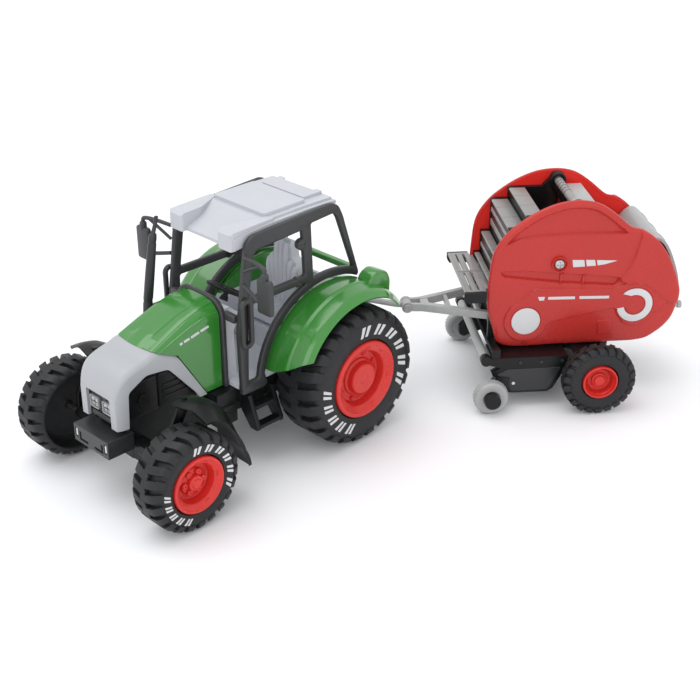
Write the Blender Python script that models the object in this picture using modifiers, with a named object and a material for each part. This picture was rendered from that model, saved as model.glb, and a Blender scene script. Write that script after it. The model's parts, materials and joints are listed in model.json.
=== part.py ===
"""A toy farm tractor with a round baler hitched behind it, built from its separate parts.

+X points to the tractor's front, +Y to its left and +Z up. The tractor is drawn from the ground
point under its rear axle. The baler is drawn from the ground point under its own axle, and stands
turned about the hitch pin. At the end the whole set is moved to stand centred on the origin.
Dimensions are in millimetres here; the helpers turn them into metres.
"""
import bmesh
import bpy
from math import cos, hypot, pi, radians, sin
from mathutils import Matrix, Vector

MM = 0.001
GAP = 0.3                    # between neighbouring pieces
WELD = 0.00001               # metres

# Tractor
REAR_R = 30.0                # tyre radii, half tracks to the outer face, inner face of the tyre
REAR_OUT, REAR_IN = 46.0, 21.6
FRONT_R = 20.56
FRONT_OUT, FRONT_IN = 46.9, 30.6
WHEELBASE = 89.7
AXLE_R = 1.5                 # steel axles of tractor and baler
BORE_R = AXLE_R + 0.35
SIDE_IN, SIDE_OUT = 20.1, 22.5     # the cab's side frames
HOOD_HALF = 13.0
HOOD_REAR, NOSE_FRONT = 49.3, 100.0
SKIN = 1.4                   # wall of the hood and the nose
ARCH_C = (-2.0, 31.0)        # centre of the cab frame's wheel arch
ARCH_R, RAIL_W = 36.8, 3.5
HITCH = (-29.3, 0.0, 42.5)   # middle of the tow bar's eye on the hitch pin

# Baler
TOW_LENGTH = 110.9           # hitch pin to baler axle
TOW_ANGLE = radians(39.25)   # how far the baler stands turned
CLEVIS = (79.6, 0.0, 37.4)
BALER_R = 16.2
BALER_OUT, BALER_IN = 42.9, 35.0
GAUGE = (46.7, 35.5, 7.8)    # centre of the left gauge wheel
GAUGE_R = 7.8
ROD = (9.5, 88.2)            # top cross rod, x and z
ROD_R = 1.9
SHELL_IN, SHELL_OUT = 19.6, 23.7
CHAMBER_IN, CHAMBER_OUT = 17.1, 19.3


# ---------------------------------------------------------------- scene, frames and materials

for old in list(bpy.data.objects):
    bpy.data.objects.remove(old, do_unlink=True)


def new_collection(name):
    group = bpy.data.collections.new(name)
    bpy.context.scene.collection.children.link(group)
    return group


PARTS = new_collection("toy_tractor")
CUTTERS = new_collection("cutters")


def new_frame(name, x, y, turn, parent=None):
    empty = bpy.data.objects.new(name, None)
    empty.location = (x * MM, y * MM, 0)
    empty.rotation_euler = (0, 0, turn)
    empty.parent = parent
    PARTS.objects.link(empty)
    return empty


TRACTOR = new_frame("tractor_frame", 0, 0, 0)
HITCH_TURN = new_frame("hitch_turn", HITCH[0], HITCH[1], -TOW_ANGLE, TRACTOR)
BALER = new_frame("baler_frame", -TOW_LENGTH, 0, 0, HITCH_TURN)


def plastic(name, colour, roughness, metallic=0.0):
    mat = bpy.data.materials.new(name)
    mat.use_nodes = True
    shader = mat.node_tree.nodes["Principled BSDF"]
    shader.inputs["Base Color"].default_value = (*colour, 1)
    shader.inputs["Roughness"].default_value = roughness
    shader.inputs["Metallic"].default_value = metallic
    return mat


BLACK = plastic("black_plastic", (0.018, 0.018, 0.02), 0.5)
DARK = plastic("dark_grey_plastic", (0.06, 0.06, 0.06), 0.5)
PALE = plastic("pale_grey_plastic", (0.55, 0.56, 0.62), 0.5)
GREEN = plastic("green_gloss", (0.06, 0.30, 0.04), 0.2)
RED = plastic("red_gloss", (0.60, 0.04, 0.035), 0.25)
TYRE = plastic("tyre_black", (0.02, 0.02, 0.022), 0.7)
GREY = plastic("light_grey_plastic", (0.42, 0.43, 0.43), 0.45)
SILVER = plastic("silver_plastic", (0.45, 0.45, 0.44), 0.35, 0.6)
STEEL = plastic("steel", (0.6, 0.6, 0.6), 0.3, 1.0)


# ---------------------------------------------------------------- building helpers

def place(name, mesh, mat, frame, matrix):
    """Puts a mesh (in metres) in the parts collection, under a frame."""
    obj = bpy.data.objects.new(name, mesh)
    mesh.materials.append(mat)
    obj.parent = frame
    obj.matrix_local = matrix
    PARTS.objects.link(obj)
    return obj


def from_bmesh(name, bm, mat, frame, matrix):
    mesh = bpy.data.meshes.new(name)
    bmesh.ops.recalc_face_normals(bm, faces=bm.faces)
    bm.to_mesh(mesh)
    bm.free()
    return place(name, mesh, mat, frame, matrix)


def at(x, y, z):
    return Matrix.Translation(Vector((x, y, z)) * MM)


def box(name, low, high, mat, frame, bevel=0.0):
    """A box between two corners, which may come in any order."""
    size = [abs(b - a) * MM for a, b in zip(low, high)]
    middle = [(a + b) / 2 for a, b in zip(low, high)]
    bm = bmesh.new()
    bmesh.ops.create_cube(bm, size=1.0, matrix=Matrix.Diagonal((*size, 1)))
    obj = from_bmesh(name, bm, mat, frame, at(*middle))
    if bevel:
        round_edges(obj, bevel)
    return obj


def round_edges(obj, width, segments=1, angle=40):
    bevel = obj.modifiers.new("round", "BEVEL")
    bevel.width = width * MM
    bevel.segments = segments
    bevel.limit_method = "ANGLE"
    bevel.angle_limit = radians(angle)


def rod(name, start, end, radius, mat, frame, sides=12, end_radius=None):
    """A straight bar, or a cone where the end radius differs."""
    a, b = Vector(start) * MM, Vector(end) * MM
    tip = radius if end_radius is None else end_radius
    bm = bmesh.new()
    bmesh.ops.create_cone(bm, cap_ends=True, segments=sides, radius1=radius * MM,
                          radius2=tip * MM, depth=(b - a).length)
    turn = (b - a).to_track_quat("Z", "Y").to_matrix().to_4x4()
    return from_bmesh(name, bm, mat, frame, Matrix.Translation((a + b) / 2) @ turn)


def curve_to_mesh(name, curve, mat, frame, matrix):
    """Turns a curve into a closed mesh whose caps are welded on."""
    guide = bpy.data.objects.new(name + "_guide", curve)
    bpy.context.scene.collection.objects.link(guide)
    bpy.context.view_layer.update()
    shape = guide.evaluated_get(bpy.context.evaluated_depsgraph_get())
    mesh = bpy.data.meshes.new_from_object(shape)
    bpy.data.objects.remove(guide)
    bm = bmesh.new()
    bm.from_mesh(mesh)
    bpy.data.meshes.remove(mesh)
    bmesh.ops.remove_doubles(bm, verts=bm.verts, dist=WELD)
    return from_bmesh(name, bm, mat, frame, matrix)


def plate(name, outline, low, high, mat, frame, across="Y"):
    """A flat outline drawn in XZ (across Y), YZ (across X) or XY (across Z)."""
    curve = bpy.data.curves.new(name, "CURVE")
    curve.dimensions = "2D"
    curve.fill_mode = "BOTH"
    curve.extrude = abs(high - low) / 2 * MM
    spline = curve.splines.new("POLY")
    spline.points.add(len(outline) - 1)
    for point, (u, v) in zip(spline.points, outline):
        point.co = (u * MM, v * MM, 0, 1)
    spline.use_cyclic_u = True
    middle = (low + high) / 2
    stand = Matrix.Rotation(pi / 2, 4, "X")
    matrix = {"Y": at(0, middle, 0) @ stand,
              "X": at(middle, 0, 0) @ Matrix.Rotation(pi / 2, 4, "Z") @ stand,
              "Z": at(0, 0, middle)}[across]
    return curve_to_mesh(name, curve, mat, frame, matrix)


def tube(name, points, radius, mat, frame):
    """A bent round bar with eight sides."""
    curve = bpy.data.curves.new(name, "CURVE")
    curve.dimensions = "3D"
    curve.bevel_depth = radius * MM
    curve.bevel_resolution = 2
    curve.use_fill_caps = True
    spline = curve.splines.new("POLY")
    spline.points.add(len(points) - 1)
    for point, (x, y, z) in zip(spline.points, points):
        point.co = (x * MM, y * MM, z * MM, 1)
    return curve_to_mesh(name, curve, mat, frame, Matrix.Identity(4))


def turned(name, profile, centre, mat, frame, steps, closed, axis=(0, 1, 0)):
    """Turns a profile of (radius, height) points about an axis through the centre."""
    mesh = bpy.data.meshes.new(name)
    points = [(r * MM, 0, h * MM) for r, h in profile]
    edges = [(i, i + 1) for i in range(len(points) - 1)]
    if closed:
        edges.append((len(points) - 1, 0))
    mesh.from_pydata(points, edges, [])
    turn = Vector(axis).to_track_quat("Z", "X").to_matrix().to_4x4()
    obj = place(name, mesh, mat, frame, at(*centre) @ turn)
    screw = obj.modifiers.new("turn", "SCREW")
    screw.steps = steps
    screw.render_steps = steps
    screw.use_merge_vertices = True
    screw.merge_threshold = WELD
    screw.use_smooth_shade = True
    return obj


def loft(name, rings, mat, frame):
    """A closed skin over rings of points that all have the same count."""
    bm = bmesh.new()
    rows = [[bm.verts.new(Vector(p) * MM) for p in ring] for ring in rings]
    count = len(rows[0])
    for a, b in zip(rows, rows[1:]):
        for i in range(count):
            j = (i + 1) % count
            bm.faces.new((a[i], a[j], b[j], b[i]))
    bm.faces.new(rows[0])
    bm.faces.new(rows[-1])
    return from_bmesh(name, bm, mat, frame, Matrix.Identity(4))


def sheet(name, point, along, across, thickness, mat, frame):
    """An open surface point(u, v), for u and v from 0 to 1, given a thickness."""
    bm = bmesh.new()
    bmesh.ops.create_grid(bm, x_segments=along, y_segments=across, size=0.5)
    for vert in bm.verts:
        vert.co = Vector(point(vert.co.x + 0.5, vert.co.y + 0.5)) * MM
    mesh = bpy.data.meshes.new(name)
    bm.to_mesh(mesh)
    bm.free()
    obj = place(name, mesh, mat, frame, Matrix.Identity(4))
    solid = obj.modifiers.new("thickness", "SOLIDIFY")
    solid.thickness = thickness * MM
    solid.offset = 0
    solid.use_even_offset = True
    return obj


def pivot(obj, x, y, z):
    """Moves a piece's origin onto its joint, leaving its shape where it is."""
    shift = Vector((x, y, z)) * MM
    obj.data.transform(Matrix.Translation(-shift))
    obj.location = obj.location + shift


def combine(obj, others, operation):
    for other in others:
        PARTS.objects.unlink(other)
        CUTTERS.objects.link(other)
        other.hide_render = True
        other.display_type = "WIRE"
        boolean = obj.modifiers.new(operation.lower(), "BOOLEAN")
        boolean.operation = operation
        boolean.object = other
    return obj


def cut(obj, *others):
    return combine(obj, others, "DIFFERENCE")


def fuse(obj, *others):
    return combine(obj, others, "UNION")


def keep(obj, *others):
    return combine(obj, others, "INTERSECT")


def arc(centre, radius, start, end, count):
    """Points on an arc, angles in degrees."""
    steps = [start + (end - start) * i / (count - 1) for i in range(count)]
    return [(centre[0] + radius * cos(radians(a)), centre[1] + radius * sin(radians(a)))
            for a in steps]


def smooth(points, per_span):
    """A closed Catmull-Rom curve through the points."""
    curve = []
    n = len(points)
    for i in range(n):
        a, b, c, d = (Vector(points[(i + k) % n]) for k in (-1, 0, 1, 2))
        for k in range(per_span):
            t = k / per_span
            curve.append(tuple(0.5 * (2 * b + (c - a) * t + (2 * a - 5 * b + 4 * c - d) * t * t
                                      + (3 * b - a - 3 * c + d) * t ** 3)))
    return curve


def mix(table, x):
    """Reads a value from a table of (x, value) pairs, in a straight line between entries."""
    for (x0, v0), (x1, v1) in zip(table, table[1:]):
        if x <= x1:
            return v0 + (v1 - v0) * max(0.0, (x - x0) / (x1 - x0))
    return table[-1][1]


def arch_ring(x, half, low, top, corner):
    """A ring across X: a box whose two upper corners are rounded."""
    left = arc((half - corner, top - corner), corner, 0, 90, 4)
    right = [(-y, z) for y, z in reversed(left)]
    ring = [(half, low)] + left + right + [(-half, low)]
    return [(x, y, z) for y, z in ring]


# ---------------------------------------------------------------- tractor: chassis and front end

def chassis():
    body = box("chassis", (12, -9, 16.5), (92.3, 9, 32.8), BLACK, TRACTOR)
    rear = box("rear_box", (-20, -10.5, 20), (14.7, 10.5, 43), BLACK, TRACTOR)
    engine = box("engine", (52, -9, 32), (94.6, 9, 50), BLACK, TRACTOR)
    side_tanks = box("side_tanks", (45.8, -17.5, 18), (56, 17.5, 33), BLACK, TRACTOR)
    sill = box("sill", (27, -19.8, 27), (45.9, 19.8, 32.8), BLACK, TRACTOR)
    beam = box("beam", (86.4, -27.5, 16.8), (92.2, 27.5, 24.4), BLACK, TRACTOR)
    front_bore = rod("front_bore", (WHEELBASE, -30, FRONT_R), (WHEELBASE, 30, FRONT_R),
                     BORE_R, BLACK, TRACTOR)
    rear_bore = rod("rear_bore", (0, -20, REAR_R), (0, 20, REAR_R), BORE_R, BLACK, TRACTOR)
    fuse(body, rear, engine, side_tanks, sill, beam)
    cut(body, front_bore, rear_bore)


def weight_block():
    block = box("front_weight_block", (92.7, -11.3, 22.3), (105, 11.3, 29.9), DARK, TRACTOR, 0.4)
    for side in (1, -1):
        slot = box("slot_level", (104, 2.4 * side, 23.8), (106, 7.4 * side, 24.8), DARK, TRACTOR)
        leg = box("slot_leg", (104, 6.4 * side, 23.8), (106, 7.4 * side, 27.2), DARK, TRACTOR)
        cut(block, fuse(slot, leg))


NOSE_TOP = [(57, 47.5), (70, 55.4), (80, 59.9), (86, 58.6), (92, 57.1), (96.2, 55.0),
            (98.7, 51.8), (NOSE_FRONT, 47.5)]
NOSE_HOLLOW = [(50, 46), (70, 53.9), (80, 58.3), (86, 57.1), (92, 55.6), (95.6, 53.7),
               (97.5, 51.0), (98.6, 46.8)]
HOOD_TOP = [(HOOD_REAR, 70.4), (56, 69.8), (64, 67.5), (72, 64.3), (81, 60.0)]
SEAM = [(80.4, 60.1), (70.4, 55.4), (57.3, 33.9)]      # where the hood meets the nose


def hood():
    def rings(skin, sections):
        return [arch_ring(x, HOOD_HALF - skin, 30, mix(HOOD_TOP, x) - skin,
                          mix([(HOOD_REAR, 6.5), (81, 3.5)], x)) for x in sections]
    body = loft("hood", rings(0, (HOOD_REAR, 56, 64, 72, 81)), GREEN, TRACTOR)
    hollow = loft("hood_hollow", rings(SKIN, (HOOD_REAR - 2, 56, 64, 72, 84)), GREEN, TRACTOR)
    front = [(x - 0.2, z + 0.2) for x, z in SEAM]
    side = plate("hood_side", [(45, 33.9), (45, 75), (84, 75), (84, front[0][1])] + front,
                 -20, 20, GREEN, TRACTOR)
    keep(body, side)
    floor = box("hood_floor", (45, -11.6, 20), (85, 11.6, 50), GREEN, TRACTOR)
    cut(body, hollow, floor)


def nose_cowl():
    corner = 2.6
    body = loft("nose_cowl", [arch_ring(x, HOOD_HALF - 0.4, 30, z, corner)
                              for x, z in NOSE_TOP], PALE, TRACTOR)
    seam = [(x + 0.2, z - 0.2) for x, z in reversed(SEAM)]
    arch = [(95.2, 32.8), (94.3, 48), (85.6, 52.4), (75, 51.0), (61.2, 34.3)]
    outline = seam + [(83, 66), (104, 66), (104, 32.8)] + arch
    keep(body, plate("nose_side", outline, -20, 20, PALE, TRACTOR))
    inside = loft("nose_hollow", [arch_ring(x, HOOD_HALF - 0.4 - SKIN, 20, z, corner - 1)
                                  for x, z in NOSE_HOLLOW], PALE, TRACTOR)
    grille = box("grille_opening", (97, -7.6, 31), (103, 7.6, 45.3), PALE, TRACTOR)
    cut(body, inside, grille)


def grille():
    panel = box("grille_panel", (96.0, -9.6, 33.0), (98.2, 9.6, 46.0), GREY, TRACTOR)
    grooves = [box("groove", (97.6, -8.5, z), (99, 8.5, z + 0.7), GREY, TRACTOR)
               for z in (34.5, 43.3)]
    cut(panel, *grooves)
    lamps = [box("headlight", (97.8, 1.2 * side, 37.3), (99.4, 6.6 * side, 42.2), SILVER, TRACTOR)
             for side in (1, -1)]
    fuse(panel, *lamps)


def cowl_arch():
    outer = loft("cowl_arch", [arch_ring(x, 14.4, 33.2, 71.6, 7.6) for x in (46.7, 49.0)],
                 DARK, TRACTOR)
    inner = loft("arch_inside", [arch_ring(x, 11.9, 20, 69.2, 5.8) for x in (46, 50)],
                 DARK, TRACTOR)
    struts = [box("strut", (44.8, 12.8 * s, 63), (47.6, (SIDE_IN - GAP) * s, 66.4),
                  DARK, TRACTOR) for s in (1, -1)]
    cut(outer, inner)
    fuse(outer, *struts)


# ---------------------------------------------------------------- tractor: cab

def cab_tub():
    half = SIDE_IN - GAP - 0.2
    rim = 35.8
    body = box("cab_tub", (15, -half, 33.2), (46.3, half, 35.2), PALE, TRACTOR)
    rear_floor = box("rear_floor", (-19, -half, 43.3), (17, half, 45.2), PALE, TRACTOR)
    riser = box("riser", (15.8, -half, 34), (17.4, half, 45.2), PALE, TRACTOR)
    dash = plate("dash", [(46.3, 34), (46.3, 66), (43, 66.6), (37.5, 62), (41, 55), (40.4, 34)],
                 -11.6, 11.6, PALE, TRACTOR)
    fuse(body, rear_floor, riser, dash)
    back = box("back_wall", (-19, -half, 44), (-17.4, half, 58), PALE, TRACTOR)
    fuse(body, back)
    for side in (1, -1):
        wall = [(ARCH_C[0] - 17, 44)] + [(16.4, 44), (16.4, 34), (33.5, 34)] \
            + arc(ARCH_C, rim, 8, 118, 9)
        fuse(body, plate("wheel_cover", wall, side * (half - 2), side * half, PALE, TRACTOR))
    plinth = box("plinth", (0, -6, 44), (13, 6, 47), PALE, TRACTOR)
    fuse(body, plinth)


def seat():
    cushion = box("seat", (-2, -8.6, 47.3), (16.5, 8.6, 52.5), PALE, TRACTOR, 1.2)
    back_side = [(-3.4, 51), (2.2, 51), (3.2, 66), (3.8, 79.6), (1.2, 80.8), (-1.0, 79.5)]
    back = plate("seat_back", back_side, -9.3, 9.3, PALE, TRACTOR)
    front = [(-9.3, 50), (9.3, 50), (9.3, 68), (7.8, 71.5), (5.8, 72.8), (5.4, 77.8), (3.6, 80.9),
             (-3.6, 80.9), (-5.4, 77.8), (-5.8, 72.8), (-7.8, 71.5), (-9.3, 68)]
    keep(back, plate("seat_front", front, -10, 10, PALE, TRACTOR, "X"))
    fuse(cushion, back)


def steering():
    centre, lean = Vector((33.8, 0, 67.2)), Vector((-0.53, 0, 0.85)).normalized()
    ring = [(8.2 + 0.95 * cos(a), 0.95 * sin(a)) for a in (k * pi / 3 for k in range(6, 0, -1))]
    wheel = turned("steering_wheel", ring, centre, DARK, TRACTOR, 24, True, lean)
    hub = rod("steering_hub", centre - 0.9 * lean, centre + 1.0 * lean, 2.0, DARK, TRACTOR, 10)
    fuse(wheel, hub)
    across = Vector((0, 1, 0))
    down = lean.cross(across)
    for spread in (90, 210, 330):
        tip = centre + 8.2 * (sin(radians(spread)) * across + cos(radians(spread)) * down)
        fuse(wheel, rod("spoke", centre, tip, 0.6, DARK, TRACTOR, 6))
    fuse(wheel, rod("column", centre, centre - 4.6 * lean, 1.1, DARK, TRACTOR, 10))


def cab_frame(name, side):
    """One side of the cab: roof rail, three pillars, belt bar, sill and wheel arch rail."""
    outline = [(34.4, 31.2), (46.6, 31.2), (47.2, 60), (42.4, 92.8), (41.3, 96.2), (38.2, 98.4),
               (-4.5, 100.2), (-8.2, 98.4), (-10.6, 93.6), (-20.2, 64.6)] \
        + arc(ARCH_C, ARCH_R, 117, 10, 12)
    rail = ARCH_R + RAIL_W
    top_window = [(41.0, 73.2), (38.2, 90.3), (36.2, 92.0), (12.3, 93.2), (11.0, 73.2)]
    door = [(41.6, 69.8), (42.9, 36.2), (37.9, 36.2)] + arc(ARCH_C, rail, 14, 71, 7) \
        + [(10.9, 69.8)]
    rear_window = arc(ARCH_C, rail, 78, 111, 5) + [(-7.3, 93.2), (-5.4, 95.6), (7.4, 94.8)]
    low, high = side * SIDE_IN, side * SIDE_OUT
    frame = plate(name, outline, low, high, DARK, TRACTOR)
    for k, hole in enumerate((top_window, door, rear_window)):
        cut(frame, plate(f"window_{k}", hole, side * 15, side * 30, DARK, TRACTOR))
    lug = plate("lug", arc((12.6, 87.2), 2.4, 0, 330, 12), low, high, DARK, TRACTOR)
    fuse(frame, lug)


def roof():
    side = [(46.4, 92.8), (46.4, 99.8), (45.4, 100.6), (27, 101.2), (6, 101.2),
            (-8.4, 100.9), (-9.2, 100.2), (-9.2, 98.3), (20, 95.6), (36, 94.2)]
    body = plate("roof", side, -19.6, 19.6, PALE, TRACTOR)
    round_edges(body, 0.7, 1, 50)
    notch = plate("front_notch", [(50, 90), (50, 104), (27.6, 104), (27.6, 100.9), (42.8, 95.3),
                                  (44.2, 94.4), (44.2, 90)], -10.7, 10.7, PALE, TRACTOR)
    cut(body, notch)
    panel = plate("roof_panel", [(3.5, 100.6), (3.9, 102.3), (25, 102.3), (27.5, 100.4)],
                  -15.6, 15.6, PALE, TRACTOR)
    hatch = box("roof_hatch", (-8.2, -12.5, 100.4), (2.0, 12.5, 102.0), PALE, TRACTOR)
    fuse(body, panel, hatch)


def mirror(name, side):
    head = box(name, (44.9, 33.4 * side, 73), (47.1, 41.4 * side, 87.6), DARK, TRACTOR, 0.8)
    clear = (SIDE_OUT + GAP) * side
    arm = tube("mirror_arm", [(43.0, clear, 91.4), (45.2, 35.6 * side, 92.2),
                              (46, 37.4 * side, 90.6), (46, 37.4 * side, 86)], 0.85, DARK, TRACTOR)
    brace = tube("mirror_brace", [(43.3, clear, 85.6), (45.1, 34.8 * side, 92.0)],
                 0.7, DARK, TRACTOR)
    low_arm = tube("mirror_low_arm", [(43.8, clear, 79.5), (46, 34.5 * side, 76.5)],
                   0.85, DARK, TRACTOR)
    fuse(head, arm, brace, low_arm)


def grab_handle(name, side):
    loop = arc((44.3, 71), 3.2, 0, 180, 5) + arc((44.3, 56), 3.2, 180, 360, 5)
    hole = arc((44.3, 70.6), 1.1, 0, 180, 4) + arc((44.3, 56.4), 1.1, 180, 360, 4)
    near = SIDE_OUT + GAP
    handle = plate(name, loop, side * near, side * (near + 2.2), DARK, TRACTOR)
    cut(handle, plate("handle_hole", hole, side * 20, side * 30, DARK, TRACTOR))


def exhaust_stack():
    y = -21.8
    stack = tube("exhaust_stack", [(58.4, y, 36.5), (58.4, y, 56), (57.6, y, 64), (54.9, y, 79),
                                   (52.8, y, 90.8)], 2.0, DARK, TRACTOR)
    tip = tube("exhaust_tip", [(53.0, y, 89.6), (51.4, y, 94.2), (50.4, y, 97.8)], 0.9, DARK, TRACTOR)
    bracket = box("exhaust_bracket", (47.3 + GAP, -22.4, 57), (58, -20.6, 61), DARK, TRACTOR)
    fuse(stack, tip, bracket)


# ---------------------------------------------------------------- tractor: fenders and steps

FRONT_CREST = [(99, 25.7), (110, 27.8), (120, 29.0), (132, 29.3), (145, 28.3), (156, 27.2),
               (174, 26.6), (190, 28.4)]             # angle, radius about the front axle
FRONT_DROP = [(99, 4.2), (142, 4.6), (162, 2.4), (180, 0.7), (190, 0.3)]


def front_fender(name, side):
    """An arc over the tyre's rear top quarter, lower along its outer edge, on a bracket."""
    inner, outer = 27.3, 43.8

    def surface(u, v):
        start = 100 + 8 * v
        angle = start + (190 - start) * u
        drop = mix(FRONT_DROP, angle) * max(0.0, (v - 0.45) / 0.55) ** 1.4
        drop += 0.6 * max(0.0, 1 - v / 0.25)
        radius = mix(FRONT_CREST, angle) - drop
        return (WHEELBASE + radius * cos(radians(angle)), (inner + (outer - inner) * v) * side,
                FRONT_R + radius * sin(radians(angle)))
    fender = sheet(name, surface, 12, 5, 1.1, DARK, TRACTOR)
    bracket = [(78, 45.8), (84.4, 45.0), (91.6, 30), (91.6, 22.8), (87.4, 22.8), (86.4, 30)]
    fuse(fender, plate("bracket", bracket, side * 27.8, side * 29.6, DARK, TRACTOR))


def rear_fender(name, side):
    section = [(20.4, 35.3), (28, 36.6), (34.5, 37.2), (35.5, 36.8), (40.5, 35.8), (43.6, 33.6)]

    def surface(u, v):
        across = v * (len(section) - 1)
        k = min(int(across), len(section) - 2)
        t = across - k
        y = section[k][0] * (1 - t) + section[k + 1][0] * t
        radius = section[k][1] * (1 - t) + section[k + 1][1] * t
        start = 12 + 17 * ((y - 20.4) / 23.2) ** 2
        angle = radians(start + (135 - start) * u)
        tail = max(0.0, u - 0.8) / 0.2
        return (ARCH_C[0] + radius * cos(angle), (y - 3.0 * tail * (y - 20.4) / 23.2) * side,
                ARCH_C[1] + radius * sin(angle) - 1.5 * tail)
    fender = sheet(name, surface, 16, 5, 1.1, GREEN, TRACTOR)
    pod_side = [(-10.5, 66.5), (-12.5, 71.0), (-17.5, 73.2), (-23.5, 71.0), (-25.6, 66.0),
                (-25.0, 57.5), (-16, 62)]
    pod = plate("lamp_pod", pod_side, side * 29, side * 38, GREEN, TRACTOR)
    round_edges(pod, 0.8)
    fuse(fender, pod)


def fender_crossbar():
    box("fender_crossbar", (-20.2, -19.8, 65.2), (-17.2, 19.8, 67.8), GREEN, TRACTOR, 0.4)


def step(name, side):
    """Two cheeks with two treads between them, hanging from the sill."""
    cheek = [(18.4, 26.7), (18.4, 24), (24.2, 16.6), (28.4, 16.6), (28.4, 18.4), (23.4, 30.9),
             (20.1, 30.9), (20.1, 26.7)]
    outline = [(y * side, z) for y, z in cheek]
    front = plate(name, outline, 42.9, 44.8, BLACK, TRACTOR, "X")
    rear = plate("rear_cheek", outline, 30.6, 32.3, BLACK, TRACTOR, "X")
    low = box("low_tread", (31, 24.4 * side, 16.9), (44, 28.3 * side, 18.4), BLACK, TRACTOR)
    high = box("high_tread", (31, 21.0 * side, 24.4), (44, 25.4 * side, 25.9), BLACK, TRACTOR)
    fuse(front, low, high, rear)


# ---------------------------------------------------------------- tractor: hitch and fasteners

def hitch_fork():
    x, _, z = HITCH
    web = box("hitch_fork", (-23.6, -5, z - 7), (-20.3, 5, z + 5), BLACK, TRACTOR)
    jaws = []
    for low in (z - 4.1, z + 2.1):
        outline = [(-23, -5), (-23, 5)] + arc((x, 0), 5, 90, 270, 9)
        jaws.append(plate("jaw", outline, low, low + 2.0, BLACK, TRACTOR, "Z"))
    fuse(web, *jaws)
    cut(web, rod("pin_hole", (x, 0, z - 12), (x, 0, z + 12), 1.75, BLACK, TRACTOR))


def hitch_pin():
    x, _, z = HITCH
    profile = [(0, 6.3), (2.6, 6.3), (2.9, 5.8), (2.9, 4.4), (1.4, 4.4), (1.4, -6.2), (1.0, -6.8),
               (0, -6.8)]
    turned("hitch_pin", profile, (x, 0, z), STEEL, TRACTOR, 14, False, (0, 0, 1))


# ---------------------------------------------------------------- wheels of the tractor

def tyre(name, side, x, radius, inner, outer, seat_r, frame, steps):
    """A tyre whose outer face takes the hub. Heights run outwards from the inner face."""
    width = outer - inner
    web = width - 7.4
    profile = [(radius, width - 1.6), (radius, 1.6), (radius - 1.4, 0), (BORE_R, 0),
               (BORE_R, web), (seat_r, web), (seat_r, width - 0.4), (radius * 0.86, width),
               (radius - 1.4, width)]
    return turned(name, profile, (x, side * inner, radius), TYRE, frame, steps, True, (0, side, 0))


def hub(name, side, x, z, outer, rim_r, boss_r, boss_out, frame, steps):
    """A dished wheel centre. Heights run outwards from its back face."""
    depth = 7.0
    profile = [(0, boss_out), (boss_r * 0.9, boss_out), (boss_r, boss_out - 0.6),
               (boss_r * 1.08, 1.7), (rim_r * 0.68, 1.5), (rim_r * 0.8, depth - 1.4),
               (rim_r * 0.86, depth - 0.3), (rim_r * 0.97, depth), (rim_r, depth - 0.5),
               (rim_r, 0), (BORE_R, 0), (BORE_R, boss_out - 1.4), (0, boss_out - 1.4)]
    return turned(name, profile, (x, side * (outer - depth), z), RED, frame, steps, False,
                  (0, side, 0))


def tractor_wheels():
    rod("rear_axle", (0, -43.5, REAR_R), (0, 43.5, REAR_R), AXLE_R, STEEL, TRACTOR)
    rod("front_axle", (WHEELBASE, -43.5, FRONT_R), (WHEELBASE, 43.5, FRONT_R), AXLE_R,
        STEEL, TRACTOR)
    for word, side in (("left", 1), ("right", -1)):
        tyre(f"rear_tyre_{word}", side, 0, REAR_R, REAR_IN, REAR_OUT, 17.3, TRACTOR, 40)
        hub(f"rear_hub_{word}", side, 0, REAR_R, 46.6, 17.0, 6.6, 5.8, TRACTOR, 28)
        tyre(f"front_tyre_{word}", side, WHEELBASE, FRONT_R, FRONT_IN, FRONT_OUT, 12.1,
             TRACTOR, 32)
        hub(f"front_hub_{word}", side, WHEELBASE, FRONT_R, 47.3, 11.8, 3.2, 5.4, TRACTOR, 24)


# ---------------------------------------------------------------- baler: tow bar and drawbar

def tow_bar():
    drop = HITCH[2] - CLEVIS[2]
    bar = tube("tow_bar", [(TOW_LENGTH - 2.5, 0, HITCH[2]), (TOW_LENGTH - 7, 0, HITCH[2]),
                           (CLEVIS[0] + 5, 0, CLEVIS[2] + 0.1 * drop),
                           (CLEVIS[0], 0, CLEVIS[2])], 1.5, GREY, BALER)
    eye = rod("eye", (TOW_LENGTH, 0, HITCH[2] - 1.7), (TOW_LENGTH, 0, HITCH[2] + 1.7), 3.7,
              GREY, BALER, 16)
    lug = rod("lug", (CLEVIS[0], -1.6, CLEVIS[2]), (CLEVIS[0], 1.6, CLEVIS[2]), 2.5,
              GREY, BALER, 16)
    pivot(bar, TOW_LENGTH, 0, HITCH[2])
    fuse(bar, eye, lug)
    cut(bar, rod("eye_hole", (TOW_LENGTH, 0, 30), (TOW_LENGTH, 0, 55), 1.75, GREY, BALER),
        rod("lug_hole", (CLEVIS[0], -9, CLEVIS[2]), (CLEVIS[0], 9, CLEVIS[2]), 1.35, GREY, BALER))


def clevis_pin():
    profile = [(0, 4.7), (1.6, 4.6), (1.9, 4.3), (1.9, 3.9), (1.05, 3.9), (1.05, -3.9),
               (1.9, -3.9), (1.9, -4.3), (1.6, -4.6), (0, -4.7)]
    turned("clevis_pin", profile, CLEVIS, GREY, BALER, 14, False)


ARM_END = 41.9               # x where the drawbar's arms reach the lower frame


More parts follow.
